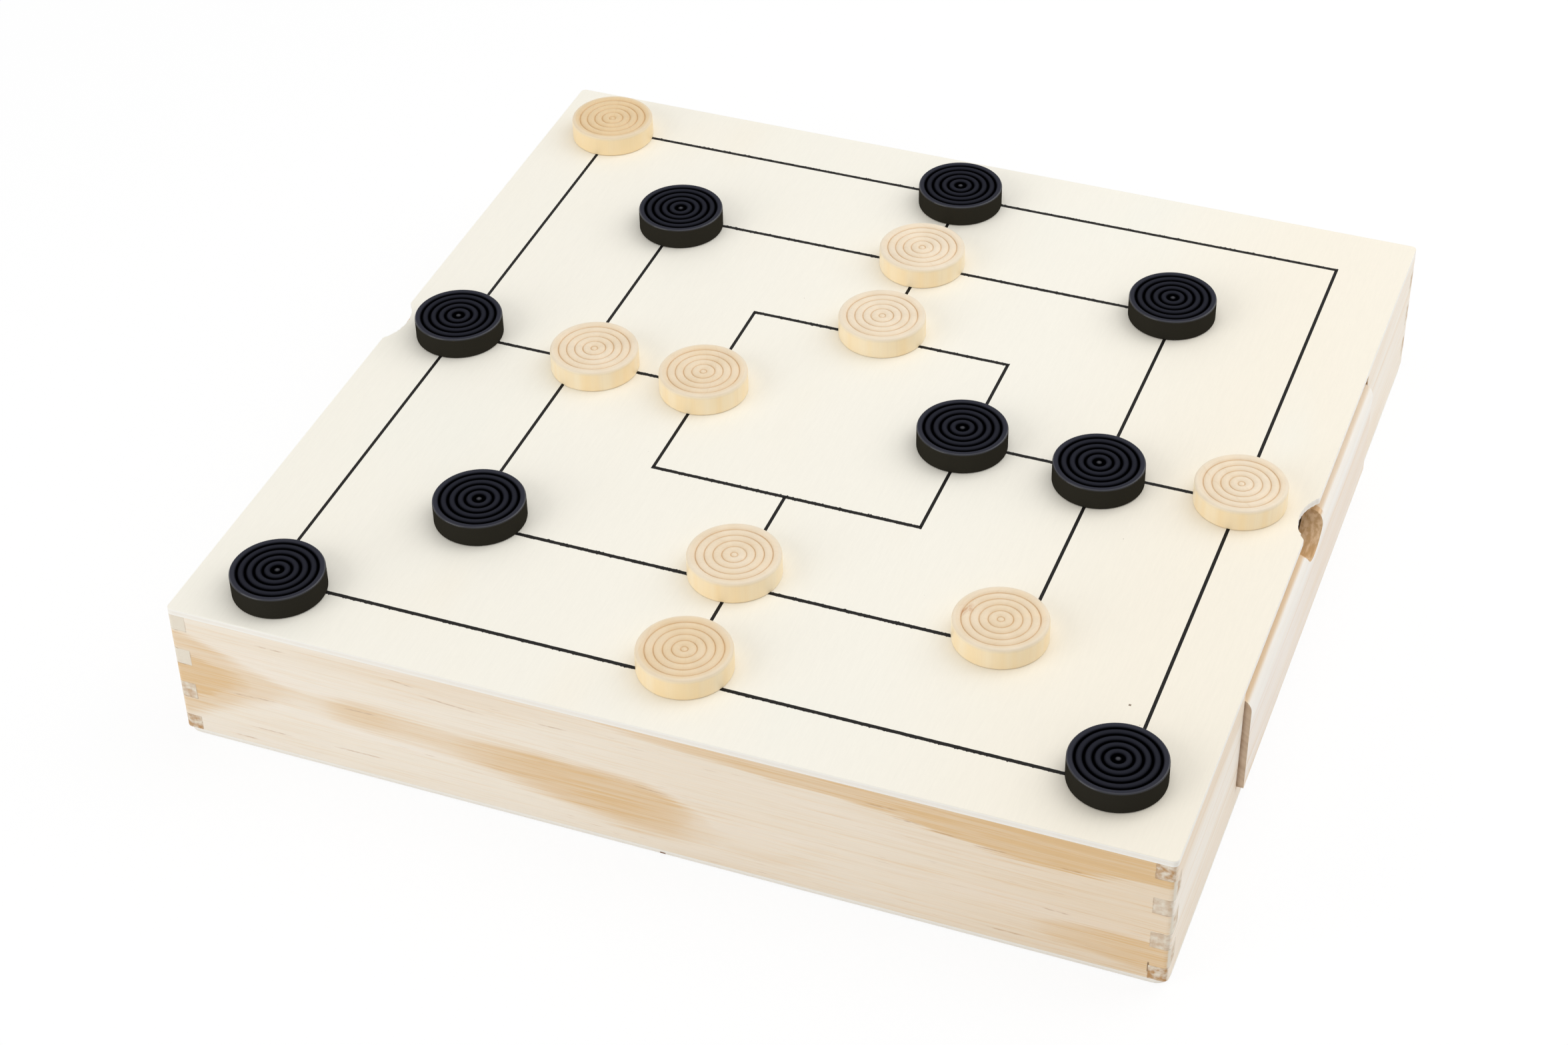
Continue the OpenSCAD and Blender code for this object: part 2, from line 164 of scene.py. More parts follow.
def distance(x, y):
    return (x * x + y * y) ** 0.5


print("numbers on surfaces can be added, multiplied and stepped")

# %% [markdown]
# A finish holds one material: its Principled shader and the nodes that feed it. What is the same all
# over goes straight on the shader's sockets. What changes is fed to Base Color, Roughness or Normal.
# Lengths inside a finish are in millimetres, because wood grain is easier to think of that way.

# %% A finish
def paint(red, green, blue):
    """A colour as a painter's program shows it, 0 to 255, made linear for the shader."""
    shares = [value / 255 for value in (red, green, blue)]
    return [*[s / 12.92 if s <= 0.04045 else ((s + 0.055) / 1.055) ** 2.4 for s in shares], 1]


class Finish:
    """One procedural material. home names an attribute with the piece's own coordinates."""

    def __init__(self, name, fixed, home=None):
        self.material = bpy.data.materials.new(name)
        self.material.use_nodes = True
        self.tree = self.material.node_tree
        self.shader = self.tree.nodes["Principled BSDF"]
        for socket, value in fixed.items():
            self.shader.inputs[socket].default_value = value
        if home:
            spot = self.node("ShaderNodeAttribute", {"attribute_name": home}, output="Vector")
        else:
            spot = self.node("ShaderNodeTexCoord", output="Object")
        self.x, self.y, self.z = [part / MM for part in self.parts(spot)]
        facing = self.parts(self.node("ShaderNodeTexCoord", output="Normal"))
        self.facing = dict(zip("xyz", facing))

    def node(self, kind, settings=None, inputs=None, output=0):
        """Adds any node: its settings first, then the values or links of its sockets."""
        made = self.tree.nodes.new(kind)
        for key, value in (settings or {}).items():
            if key == "line":
                self.draw(made.mapping, value)
            else:
                setattr(made, key, value)
        for key, value in (inputs or {}).items():
            self.feed(made.inputs[key], value)
        return Value(self, made.outputs[output])

    def draw(self, mapping, spots):
        """Lays a curve node's line through a few points, both ends included."""
        line = mapping.curves[0]
        line.points[0].location = spots[0]
        line.points[1].location = spots[-1]
        for spot in spots[1:-1]:
            line.points.new(*spot)
        mapping.update()

    def feed(self, socket, value):
        if isinstance(value, Value):
            self.tree.links.new(value.socket, socket)
        elif isinstance(value, list):
            socket.default_value = value[:len(socket.default_value)]
        else:
            socket.default_value = value

    def parts(self, vector):
        split = self.node("ShaderNodeSeparateXYZ", inputs={0: vector})
        return [Value(self, out) for out in split.socket.node.outputs]

    def noise(self, x, y, z, detail=2, roughness=0.5):
        """Soft random variation between about -1 and 1, one unit of x, y and z apart."""
        spot = self.node("ShaderNodeCombineXYZ", inputs={0: x, 1: y, 2: z})
        inputs = {"Vector": spot, "Scale": 1, "Detail": detail, "Roughness": roughness}
        return self.node("ShaderNodeTexNoise", inputs=inputs) * 2 - 1

    def mix(self, first, second, share):
        """The first colour where share is 0, the second where it is 1."""
        return self.node("ShaderNodeMix", {"data_type": "RGBA"}, {0: share, 6: first, 7: second}, 2)

    def shade(self, colour, amount):
        """A colour made lighter or darker by a factor that changes over the surface."""
        inputs = {0: colour, "Scale": amount}
        return self.node("ShaderNodeVectorMath", {"operation": "SCALE"}, inputs)

    def set(self, socket, value):
        self.feed(self.shader.inputs[socket], value)

    def relief(self, height):
        """Bumps of a height in millimetres."""
        inputs = {"Strength": 1.0, "Distance": MM, "Height": height}
        self.set("Normal", self.node("ShaderNodeBump", inputs=inputs))


print("a finish named by a word, with lengths in millimetres")

# %% [markdown]
# Plain floor, plain light. The soft shadows beside the discs fall to both sides, so the photographer
# had one wide lamp at the left front, one at the right and one above. An even white sky fills the rest.
# Together they light a level surface to about the value that its colour is written in. The floor shows
# white to the camera and keeps only part of the box's shadow, because the photograph's floor is almost
# blown out.

# %% Floor, sky and lamps
FLOOR_DROP = 0.05 * MM
FLOOR_SIZE = 12.0
FLOOR_CLOTH = 0.95
FLOOR_GLOW = 1.02
SHADOW_SHARE = 0.16
SKY_STRENGTH = 0.55
LAMPS = {
    "above": (Vector((0.1, 0.1, 1.2)), 1.0, 3.1),
    "left": (Vector((-0.8, -0.95, 0.6)), 0.9, 5.0),
    "right": (Vector((0.65, 0.55, 0.75)), 0.9, 3.6),
}


def mesh_from(bm, name="part"):
    """Keeps a mesh under construction as a mesh with that name."""
    mesh = bpy.data.meshes.new(name)
    bm.to_mesh(mesh)
    bm.free()
    return mesh


def seen_directly(tree):
    """1 for what the camera sees, straight or in a reflection, and 0 for light that falls on things."""
    rays = tree.nodes.new("ShaderNodeLightPath")
    total = rays.outputs["Is Camera Ray"]
    for name in ("Is Glossy Ray", "Is Transmission Ray"):
        add = tree.nodes.new("ShaderNodeMath")
        add.operation = "MAXIMUM"
        tree.links.new(total, add.inputs[0])
        tree.links.new(rays.outputs[name], add.inputs[1])
        total = add.outputs[0]
    return total


def blend(tree, share, first, second, end):
    """Sends the first shader to the tree's end where share is 0, and the second where it is 1."""
    either = tree.nodes.new("ShaderNodeMixShader")
    for socket, output in enumerate((share, first.outputs[0], second.outputs[0])):
        tree.links.new(output, either.inputs[socket])
    tree.links.new(either.outputs[0], tree.nodes[end].inputs["Surface"])


def make_sky():
    world = bpy.data.worlds.new("sky")
    world.use_nodes = True
    tree = world.node_tree
    lit = tree.nodes["Background"]
    lit.inputs["Strength"].default_value = SKY_STRENGTH
    shown = tree.nodes.new("ShaderNodeBackground")
    for background in (lit, shown):
        background.inputs["Color"].default_value = (1, 1, 1, 1)
    blend(tree, seen_directly(tree), lit, shown, "World Output")
    bpy.context.scene.world = world


def make_floor():
    bm = bmesh.new()
    bmesh.ops.create_grid(bm, x_segments=1, y_segments=1, size=FLOOR_SIZE / 2)
    bmesh.ops.translate(bm, vec=(0, 0, -FLOOR_DROP), verts=bm.verts)
    floor = add_object("floor", mesh_from(bm, "floor"))
    white = bpy.data.materials.new("white_floor")
    white.use_nodes = True
    tree = white.node_tree
    tree.nodes.remove(tree.nodes["Principled BSDF"])
    cloth = tree.nodes.new("ShaderNodeBsdfDiffuse")
    cloth.inputs["Color"].default_value = (FLOOR_CLOTH, FLOOR_CLOTH, FLOOR_CLOTH, 1)
    glow = tree.nodes.new("ShaderNodeEmission")
    glow.inputs["Strength"].default_value = FLOOR_GLOW
    share = tree.nodes.new("ShaderNodeMath")
    share.operation = "MULTIPLY"
    tree.links.new(seen_directly(tree), share.inputs[0])
    share.inputs[1].default_value = 1 - SHADOW_SHARE
    blend(tree, share.outputs[0], cloth, glow, "Material Output")
    floor.data.materials.append(white)


def make_lamp(name, place, size, power):
    """A square lamp that looks at the middle of the box."""
    light = bpy.data.lights.new(name, "AREA")
    light.size = size
    light.energy = power
    facing = (-place).to_track_quat("-Z", "Y").to_matrix().to_4x4()
    add_object(name, light).matrix_world = Matrix.Translation(place) @ facing


make_sky()
make_floor()
for name, (place, size, power) in LAMPS.items():
    make_lamp(name + "_lamp", place, size, power)
print("floor", FLOOR_SIZE, "m,", len(LAMPS), "lamps")

# %% [markdown]
# Wood is mostly fibres, so every wooden finish starts from the same few patterns: long hairs along
# the grain, short dark dashes where resin canals were cut open, and cut ends that are darker and
# mottled. Each takes the coordinate along the grain first. Noise stretched a hundred to one along it
# gives the hairs. A wave or a picture would repeat, and the eye finds a repeat at once.

# %% Patterns that wood is made of
def hairs(finish, along, across, depth):
    """Fine fibres, about -1 to 1."""
    coarse = finish.noise(along / 22, across / 0.7, depth / 0.7, detail=3)
    fine = finish.noise(along / 5, across / 0.2, depth / 0.2, detail=1)
    return coarse * 0.65 + fine * 0.35


def dashes(finish, along, across, depth):
    """Short dark streaks of opened canals, 0 to 1, more of them in some places than in others."""
    streak = finish.noise(along / 7, across / 0.28, depth / 0.28, detail=0).step(0.5, 0.72)
    crowd = finish.noise(along / 60 + 7, across / 6, depth / 6, detail=1).step(-0.3, 0.5)
    return streak * crowd


def cut_end(finish, x, y, z):
    """Mottling of end grain, about -1 to 1."""
    return finish.noise(x / 0.5, y / 0.5, z / 0.5, detail=3, roughness=0.7)


def curve(finish, value, top, points):
    """A smooth line through given points, each a place and a height between 0 and top."""
    start, end = points[0][0], points[-1][0]
    spots = [((at - start) / (end - start), height / top) for at, height in points]
    share = (value - start) / (end - start)
    return finish.node("ShaderNodeFloatCurve", {"line": spots}, {"Value": share}) * top


def mark(finish, x, z, length, rise, width):
    """One fine streak round that point, 0 to 1, which rises by rise from its left end to its right."""
    from_middle = finish.x - x
    beside = abs(finish.z - z - from_middle * (rise / length))
    return beside.step(width, width * 0.2) * abs(from_middle).step(length / 2, length / 5)


print("hairs, dashes, cut ends, curves through given points and marks")

# %% [markdown]
# The boards are thin three-layer plywood with a pale face. The face is almost white, with hairs along
# the depth of the box, so its colour changes only a little: a few yellow and pink clouds, fine hairs
# and some dark specks. The sanded edge shows the layers as faint lines.

# %% Plywood
FACE = paint(248, 244, 232)
FACE_WARM = paint(248, 240, 223)
FACE_COOL = paint(245, 243, 232)
PLY_EDGE = paint(249, 246, 239)
PLY_CORE = paint(238, 230, 216)
SPECK = paint(120, 100, 78)
NICK = paint(122, 84, 56)
SPECK_X, SPECK_Y = 117.6, -92.8
NICK_X, NICK_Z = 2.7, 0.8


def one_speck(finish, colour):
    """The dark speck beside the near right disc."""
    from_speck = abs(finish.x - SPECK_X).most(abs(finish.y - SPECK_Y))
    return finish.mix(colour, SPECK, from_speck.step(0.45, 0.2))


def one_nick(finish, colour):
    """The small brown nick in the middle of the lower board's near edge."""
    place = abs(finish.x - NICK_X).step(0.95, 0.65) * abs(finish.z - NICK_Z).step(0.5, 0.3)
    return finish.mix(colour, NICK, place * finish.y.step(-140, -144))


def plywood(name, foot, grain="y", over=None):
    """Finish of a board whose underside lies at that height, in millimetres."""
    finish = Finish(name, {"Roughness": 0.5, "Specular IOR Level": 0.25})
    along, across = (finish.y, finish.x) if grain == "y" else (finish.x, finish.y)
    clouds = finish.noise(along / 90, across / 45, finish.z / 20, detail=2)
    warm = (clouds.step(0.1, 0.7) * 0.7).most(finish.x.step(40, 125) * 0.75)
    face = finish.mix(FACE, FACE_WARM, warm)
    face = finish.mix(face, FACE_COOL, clouds.step(-0.1, -0.7) * 0.8)
    fibre = finish.noise(along / 6, across / 0.45, finish.z / 3, detail=3, roughness=0.7)
    face = finish.shade(face, 1 + fibre * 0.035)
    speck = finish.noise(along / 0.5 + 11, across / 0.4, finish.z, detail=0).step(0.86, 0.9)
    rare = finish.noise(along / 8 + 3, across / 8, finish.z, detail=0).step(0.3, 0.4)
    face = finish.mix(face, SPECK, speck * rare)
    layer = finish.z - foot
    core = layer.step(0.5, 0.65) * layer.step(1.5, 1.35)
    patches = finish.noise(along / 4, across / 4, layer * 3)
    edge = finish.mix(PLY_EDGE, PLY_CORE, core * (0.35 + patches * 0.25))
    flat = abs(finish.facing["z"]).step(0.35, 0.8)
    colour = finish.mix(edge, face, flat)
    finish.set("Base Color", over(finish, colour) if over else colour)
    finish.relief(fibre * 0.012)
    return finish


board_finish = plywood("board_plywood", board_lo.z / MM, over=one_speck)
base_finish = plywood("base_plywood", base_lo.z / MM, over=one_nick)
print("plywood for the upper and the lower board")

# %% [markdown]
# The walls are box-jointed: fingers of the side walls pass between fingers of the end walls, and the
# corner was sanded flush after gluing. Nothing is left to see there but cut ends and a thin brown
# line of glue round each finger, so the line is painted by the distance to the nearest finger edge.

# %% Fingers and their glue lines
FINGER = 5.6
FINGER_SPACE = 7.0
FINGER_STEP = FINGER + FINGER_SPACE
FIRST_EDGE = front_hi.z / MM - 5.4
GLUE = paint(178, 150, 122)
CRACK = paint(92, 64, 42)


def finger_height(z):
    """How far below a side wall's finger this height lies. Past FINGER_SPACE it is in the next finger."""
    return (FIRST_EDGE - z) % FINGER_STEP


def glue_line(finish, run, side_finger):
    """Lines round the cut ends that show on one face. run is the distance from the box's middle."""
    height = finger_height(finish.z)
    level = height.least(abs(height - FINGER_SPACE)).least(FINGER_STEP - height)
    inside = height.step(FINGER_SPACE - 0.1, FINGER_SPACE + 0.1)
    if not side_finger:
        inside = 1 - inside
    past = run.step(INNER / MM - 0.15, INNER / MM + 0.15)
    upright = abs(run - INNER / MM).step(0.24, 0.06) * inside
    line = (level.step(0.2, 0.05) * past).most(upright)
    broken = finish.noise(finish.x / 2, finish.y / 2, finish.z / 2, detail=2).step(-0.2, 0.4)
    return line * (0.15 + broken * 0.6)


print("finger step", FINGER_STEP, "mm")

# %% [markdown]
# The walls are plain-sawn pine. Where the saw ran along a yearly ring, the dark late wood spreads into
# a broad tan flame. The front wall's flames are what one recognises it by, so their upper and lower
# edges are drawn with a few points each, and noise roughens them. The lists below hold places in
# millimetres. The back wall was never seen: it has flames of its own.

# %% Pine
PINE_PALE = paint(247, 237, 221)
PINE_CREAM = paint(249, 240, 227)
PINE_SIDE = paint(248, 241, 230)
PINE_TAN = paint(227, 192, 143)
PINE_DASH = paint(178, 132, 88)
PINE_END = paint(235, 226, 209)
PINE_END_DARK = paint(190, 146, 96)
CURVE_TOP = 60
FRONT_MARKS = [
    (-117, 8.6, 16, 0.1, 0.3), (-89, 9.1, 18, 0.3, 0.3), (-125, 3.9, 8, 0, 0.3), (-87, 25.3, 12, 0.3, 0.35),
    (-113, 40.6, 11, 0, 0.3), (-121, 20.2, 18, 0.9, 0.35), (-58, 36.8, 22, -1.3, 0.35),
    (-73, 40.3, 9, -1, 0.3), (-28, 38.2, 10, 0.3, 0.3), (0, 23.9, 12, -0.7, 0.35), (73, 36.9, 9, -0.2, 0.4),
    (83, 35.7, 10, -0.6, 0.4), (96, 34.4, 11, 0.2, 0.4), (118, 34.2, 8, 0, 0.4), (114, 17.9, 9, -0.3, 0.35),
    (101, 5.5, 12, 0, 0.3), (66, 39.8, 11, 0, 0.35),
]
FRONT_FLAMES = {
    "heart": (
        [(-150, 40.5), (-140, 38), (-130, 34), (-118, 30), (-106, 26.8), (-97, 27.2), (-88, 28.2),
         (-62, 27), (-30, 27), (-5, 26), (5, 24), (13, 20.5), (22, 15.5), (32, 12), (150, 10)],
        [(-150, 5.5), (-140, 9), (-130, 14), (-118, 19), (-106, 22.4), (-98, 21.2), (-88, 19.6), (-75, 19),
         (-55, 16.8), (-35, 13), (-20, 10.2), (-5, 7.8), (8, 7.4), (20, 8), (150, 9)],
        [(-150, 0.5), (-136, 0.6), (-124, 0.52), (-112, 0.4), (-104, 0.28), (-96, 0.5), (-88, 0.62),
         (-77, 0.52), (-66, 0.42), (-55, 0.58), (-38, 0.74), (0, 0.74), (9, 0.54), (16, 0.32), (26, 0.16),
         (50, 0.05), (150, 0)],
        (2.2, 3),
    ),
    "left core": (
        [(-150, 32), (-138, 31), (-130, 29.5), (-122, 27), (-114, 24), (150, 24)],
        [(-150, 12.5), (-138, 15.5), (-130, 18.5), (-122, 21.5), (-114, 24), (150, 24)],
        [(-150, 0.92), (-134, 0.92), (-126, 0.74), (-119, 0.4), (-112, 0), (150, 0)],
        (1.2, 1.6),
    ),
    "core": (
        [(-150, 22), (-62, 22), (-50, 23.4), (-38, 24.2), (-18, 25), (0, 24.2), (7, 22.4), (12, 19.5),
         (150, 17)],
        [(-150, 21), (-62, 21), (-50, 18.6), (-38, 16.5), (-18, 12.8), (-2, 10.8), (7, 11.5), (12, 14),
         (150, 17)],
        [(-150, 0), (-62, 0), (-48, 0.68), (-36, 0.84), (0, 0.84), (8, 0.7), (14, 0.3), (20, 0), (150, 0)],
        (0.9, 1.8),
    ),
    "top": (
        [(-150, 60), (150, 60)],
        [(-150, 50), (-30, 45.5), (-13, 43.4), (3, 41.8), (22, 40.4), (40, 39.2), (56, 38.2), (70, 37),
         (85, 35), (98, 33.7), (112, 33.2), (122, 33.6), (133, 35), (150, 36.6)],
        [(-150, 0), (-32, 0), (-12, 0.55), (10, 0.64), (45, 0.76), (80, 0.84), (110, 1), (150, 1)],
        (1, 1.3),
    ),
    "low": (
        [(-150, 12), (88, 12.6), (100, 13.4), (110, 14.6), (120, 16), (130, 16.8), (140, 16.6), (150, 15.6)],
        [(-150, 12), (88, 11.5), (100, 10.6), (108, 8.6), (116, 6.6), (126, 5), (138, 3.2), (150, 2)],
        [(-150, 0), (88, 0), (99, 0.18), (108, 0.42), (116, 0.66), (128, 0.78), (140, 0.85), (150, 0.85)],
        (1.8, 2.4),
    ),
    "smudge": (
        [(-150, 12), (20, 11), (34, 12), (46, 14), (60, 12), (150, 12)],
        [(-150, 8), (20, 7), (34, 7), (46, 10), (60, 11), (150, 11)],
        [(-150, 0), (10, 0), (28, 0.3), (46, 0.28), (62, 0), (150, 0)],
        (2, 2),
    ),
    "upper left": (
        [(-150, 43), (-80, 43.5), (-60, 46), (150, 46)],
        [(-150, 37), (-90, 37), (-60, 36.5), (-30, 38), (0, 38), (40, 36), (150, 34)],
        [(-150, 0.1), (-120, 0.14), (-80, 0.22), (-50, 0.25), (-25, 0.18), (20, 0.1), (150, 0.05)],
        (1.5, 5),
    ),
}
BACK_FLAMES = {
    "broad": (
        [(-150, 22), (-60, 26), (20, 31), (90, 36), (150, 41)],
        [(-150, 14), (-60, 15), (20, 19), (90, 29), (150, 35)],
        [(-150, 0.2), (-110, 0.6), (-20, 1), (60, 0.9), (150, 0.3)],
        (3, 3.5),
    ),
    "low": (
        [(-150, 9), (-40, 8), (60, 10), (150, 6)],
        [(-150, 0), (150, 0)],
        [(-150, 0), (-60, 0.1), (30, 0.7), (110, 0.6), (150, 0.2)],
        (2, 2),
    ),
}


def flames(finish, x, z, bands):
    """Tan bands. Each has an upper edge, a lower edge, a strength along x and how soft its edges are."""
    wave = finish.noise(x / 30, z / 4, 3, detail=3) * 1.5 + finish.noise(x / 40, z / 0.8, 7, detail=2) * 3
    drawn = []
    for upper, lower, strength, (soft_top, soft_foot) in bands.values():
        below = curve(finish, x, CURVE_TOP, upper) - z + wave
        above = z - curve(finish, x, CURVE_TOP, lower) + wave
        body = below.step(-soft_top, soft_top) * above.step(-soft_foot, soft_foot)
        drawn.append(body * curve(finish, x, 1, strength))
    return strongest(drawn)


def front_flames(finish, x, z):
    """The front wall's flames, and the warmer tone of its right half."""
    right_half = x.step(-40, 20) * 0.16 + x.step(50, 135) * 0.27
    return flames(finish, x, z, FRONT_FLAMES).most(right_half)


def back_flames(finish, x, z):
    return flames(finish, x, z, BACK_FLAMES)


def straight_rings(finish, along, across):
    """Yearly rings of a board sawn straight through: soft lines that run the whole length."""
    bend = finish.noise(along / 110, across / 60, 1, detail=1) * 5
    broad = finish.noise((across + bend) / 7, along / 500, 5, detail=1)
    fine = finish.noise((across + bend) / 1.8, along / 400, 9, detail=2, roughness=0.6)
    return broad.step(-0.1, 0.6) * 0.26 + fine.step(0, 0.6) * 0.4


def side_rings(finish, along, across):
    """The side walls are sawn straight too, but they are tan along their upper and lower edge."""
    far_end = along.step(95, 120)
    upper = across.step(33, 39) * (0.4 - along.step(-90, 60) * 0.2 - far_end * 0.1)
    lower = across.step(19, 12) * (0.24 - far_end * 0.12)
    return strongest([straight_rings(finish, along, across), upper, lower])


def front_marks(finish, colour):
    """The single dark streaks that one can count on the front wall, and a crack beside a low finger."""
    total = strongest([mark(finish, *streak) for streak in FRONT_MARKS])
    broken = finish.noise(finish.x / 2.5, finish.z / 0.5, 4, detail=2).step(-0.5, 0.3)
    colour = finish.mix(colour, PINE_DASH, total * broken * 0.5)
    crack = abs(finish.x - INNER / MM).step(0.3, 0.1) * abs(finish.z - 6.2).step(2.1, 1.4)
    return finish.mix(colour, CRACK, crack * 0.85)


def side_ends(finish):
    """How brown the side walls' cut ends are, by height, at the near left and near right corner."""
    left = curve(finish, finish.z, 1.2, [(0, 1.05), (6, 0.95), (12, 0.8), (20, 0.65), (26, 0.1), (46, 0.08)])
    right = curve(finish, finish.z, 1.2, [(0, 1.15), (7, 1.15), (13, 0.65), (32, 0.6), (38, 1.05), (46, 1.1)])
    on_right = finish.x.step(-1, 1)
    return left * (1 - on_right) + right * on_right


def front_ends(finish):
    """The cut ends of the end walls are darkest in the middle of each finger."""
    from_middle = abs(finger_height(finish.z) - FINGER_SPACE / 2)
    across = abs(abs(finish.y) - (front_hi.x - WALL / 2) / MM + 0.6)
    return from_middle.step(3.6, 1.6) * across.step(2.7, 1.2) * 0.9


def pine(name, along, across, figure, pale=PINE_PALE, glued=False, ends=None, over=None):
    """A pine board. along and across are axes, and figure draws its rings.

    ends says how brown the cut ends are, and over lays something more on the finished colour.
    """
    finish = Finish(name, {"Roughness": 0.52, "Specular IOR Level": 0.3})
    depth = "xyz".replace(along, "").replace(across, "")
    a, c, d = [getattr(finish, axis) for axis in (along, across, depth)]
    fibre = hairs(finish, a, c, d)
    clouds = finish.noise(a / 80, c / 7, d / 9, detail=2)
    body = finish.mix(pale, PINE_CREAM, clouds.step(-0.1, 0.6) * 0.8)
    streak = finish.noise(a / 45, c / 1.1, d, detail=3, roughness=0.6)
    line = finish.noise(a / 30, c / 0.45 + 20, d, detail=2, roughness=0.6)
    tan = figure(finish, a, c) * (0.93 + streak * 0.4 + line * 0.25)
    tan = tan + streak.step(0, 0.6) * 0.24 + line.step(0, 0.5) * 0.26
    body = finish.mix(body, PINE_TAN, tan.least(1))
    body = finish.mix(body, PINE_DASH, dashes(finish, a, c, d) * 0.4)
    body = finish.shade(body, 1 + fibre * 0.045 + line * 0.035)
    mottle = cut_end(finish, finish.x, finish.y, finish.z)
    brown = ends(finish) if ends else 0.35
    blotch = finish.noise(finish.x / 2.2, finish.y / 2.2, finish.z / 1.8 + 9, detail=3).step(-0.45, 0.45)
    cut = finish.mix(PINE_END, PINE_END_DARK, blotch * brown)
    cut = finish.shade(cut, 1 + mottle * 0.04)
    ended = abs(finish.facing[along]).step(0.5, 0.8)
    colour = finish.mix(body, cut, ended)
    if glued:
        on_long = glue_line(finish, abs(a), along == "x")
        on_end = glue_line(finish, abs(d), along == "y")
        colour = finish.mix(colour, GLUE, on_long * (1 - ended) + on_end * ended)
    finish.set("Base Color", over(finish, colour) if over else colour)
    finish.set("Roughness", 0.5 + fibre * 0.05)
    finish.relief(fibre * 0.02 + mottle * ended * 0.02)
    return finish


front_pine = pine("front_pine", "x", "z", front_flames, glued=True, ends=front_ends, over=front_marks)
back_pine = pine("back_pine", "x", "z", back_flames, glued=True, ends=front_ends)
side_pine = pine("side_pine", "y", "z", side_rings, PINE_SIDE, glued=True, ends=side_ends)
print("pine for the front, the back and the side walls")

# %% [markdown]
# Helpers that every piece shares. A piece starts as a block, a slab or a turned outline, has some edges
# rounded, and is then given its finish, its body and its place in the model. Weighted normals keep
# the broad faces flat to the eye while the narrow rounded edges shade smoothly.

# %% Making a mesh
TINY = 0.001 * MM
EDGE_STEPS = 3
SHARP_DEGREES = 50


def block(corner, opposite):
    """A block between two opposite corners."""
    lo = Vector(map(min, corner, opposite))
    hi = Vector(map(max, corner, opposite))
    bm = bmesh.new()
    bmesh.ops.create_cube(bm, size=1)
    bmesh.ops.scale(bm, vec=hi - lo, verts=bm.verts)
    bmesh.ops.translate(bm, vec=(lo + hi) / 2, verts=bm.verts)
    return bm


def moved(bm, matrix):
    bmesh.ops.transform(bm, matrix=matrix, verts=bm.verts)
    return bm


def arc(centre, radius, start, end, steps):
    """Points of a round stretch between two angles in degrees."""
    angles = [math.radians(start + (end - start) * i / steps) for i in range(steps + 1)]
    return [(centre[0] + radius * math.cos(a), centre[1] + radius * math.sin(a)) for a in angles]


def thicken(bm, depth):
    """Draws flat faces up by depth, or down where it is negative, into a closed solid."""
    grown = bmesh.ops.extrude_face_region(bm, geom=bm.faces[:])["geom"]
    risen = [part for part in grown if isinstance(part, bmesh.types.BMVert)]
    bmesh.ops.translate(bm, vec=(0, 0, depth), verts=risen)
    bmesh.ops.recalc_face_normals(bm, faces=bm.faces)
    return bm


def slab(outline, low, high):
    """A flat piece with that outline seen from above."""
    bm = bmesh.new()
    bm.faces.new([bm.verts.new((x, y, low)) for x, y in outline])
    return thicken(bm, high - low)


def round_edges(bm, width, chosen=None, steps=EDGE_STEPS):
    """Rounds the edges for which chosen(middle, direction) is true, or all of them.

    Where two rounded edges end in one corner they can leave points on top of each other. Those become one.
    """
    edges = []
    for edge in bm.edges:
        start, end = (vert.co for vert in edge.verts)
        if chosen is None or chosen((start + end) / 2, (end - start).normalized()):
            edges.append(edge)
    bmesh.ops.bevel(
        bm, geom=edges, offset=width, offset_type="OFFSET", segments=steps,
        profile=0.5, affect="EDGES", material=-1, clamp_overlap=True,
    )
    bmesh.ops.remove_doubles(bm, verts=bm.verts, dist=TINY)


def spun(profile, steps=96):
    """A turned piece round Z, from half its outline given from the bottom up."""
    bm = bmesh.new()
    verts = [bm.verts.new((radius, 0, height)) for radius, height in profile]
    edges = [bm.edges.new(pair) for pair in zip(verts, verts[1:])]
    bmesh.ops.spin(
        bm, geom=verts + edges, cent=(0, 0, 0), axis=(0, 0, 1), angle=math.tau,
        steps=steps, use_merge=True, use_normal_flip=False, use_duplicate=False,
    )
    bmesh.ops.remove_doubles(bm, verts=bm.verts, dist=TINY)
    bmesh.ops.recalc_face_normals(bm, faces=bm.faces)
    return bm


def join(*parts):
    """Several meshes as one."""
    whole = bmesh.new()
    for part in parts:
        mesh = mesh_from(part)
        whole.from_mesh(mesh)
        bpy.data.meshes.remove(mesh)
    return whole


def carve(bm, tool):
    """One mesh with another cut out of it."""
    pair = [add_object("part", mesh_from(part)) for part in (bm, tool)]
    cut = pair[0].modifiers.new("cut", "BOOLEAN")
    cut.operation = "DIFFERENCE"
    cut.solver = "EXACT"
    cut.object = pair[1]
    left = pair[0].evaluated_get(bpy.context.evaluated_depsgraph_get()).to_mesh()
    whole = bmesh.new()
    whole.from_mesh(left)
    for part in pair:
        mesh = part.data
        bpy.data.objects.remove(part)
        bpy.data.meshes.remove(mesh)
    return whole


def make_piece(name, bm, finish, body="box"):
    """Turns a mesh into a finished piece that rides on a body and stands for the node of that name."""
    mesh = mesh_from(bm, name + "_shown")
    mesh.shade_smooth()
    mesh.set_sharp_from_angle(angle=math.radians(SHARP_DEGREES))
    mesh.materials.append(finish.material)
    piece = add_object(name + "_shown", mesh)
    even = piece.modifiers.new("even_shading", "WEIGHTED_NORMAL")
    even.keep_sharp = True
    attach(piece, body)
    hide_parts(name)


print("blocks, slabs, turned and carved pieces")

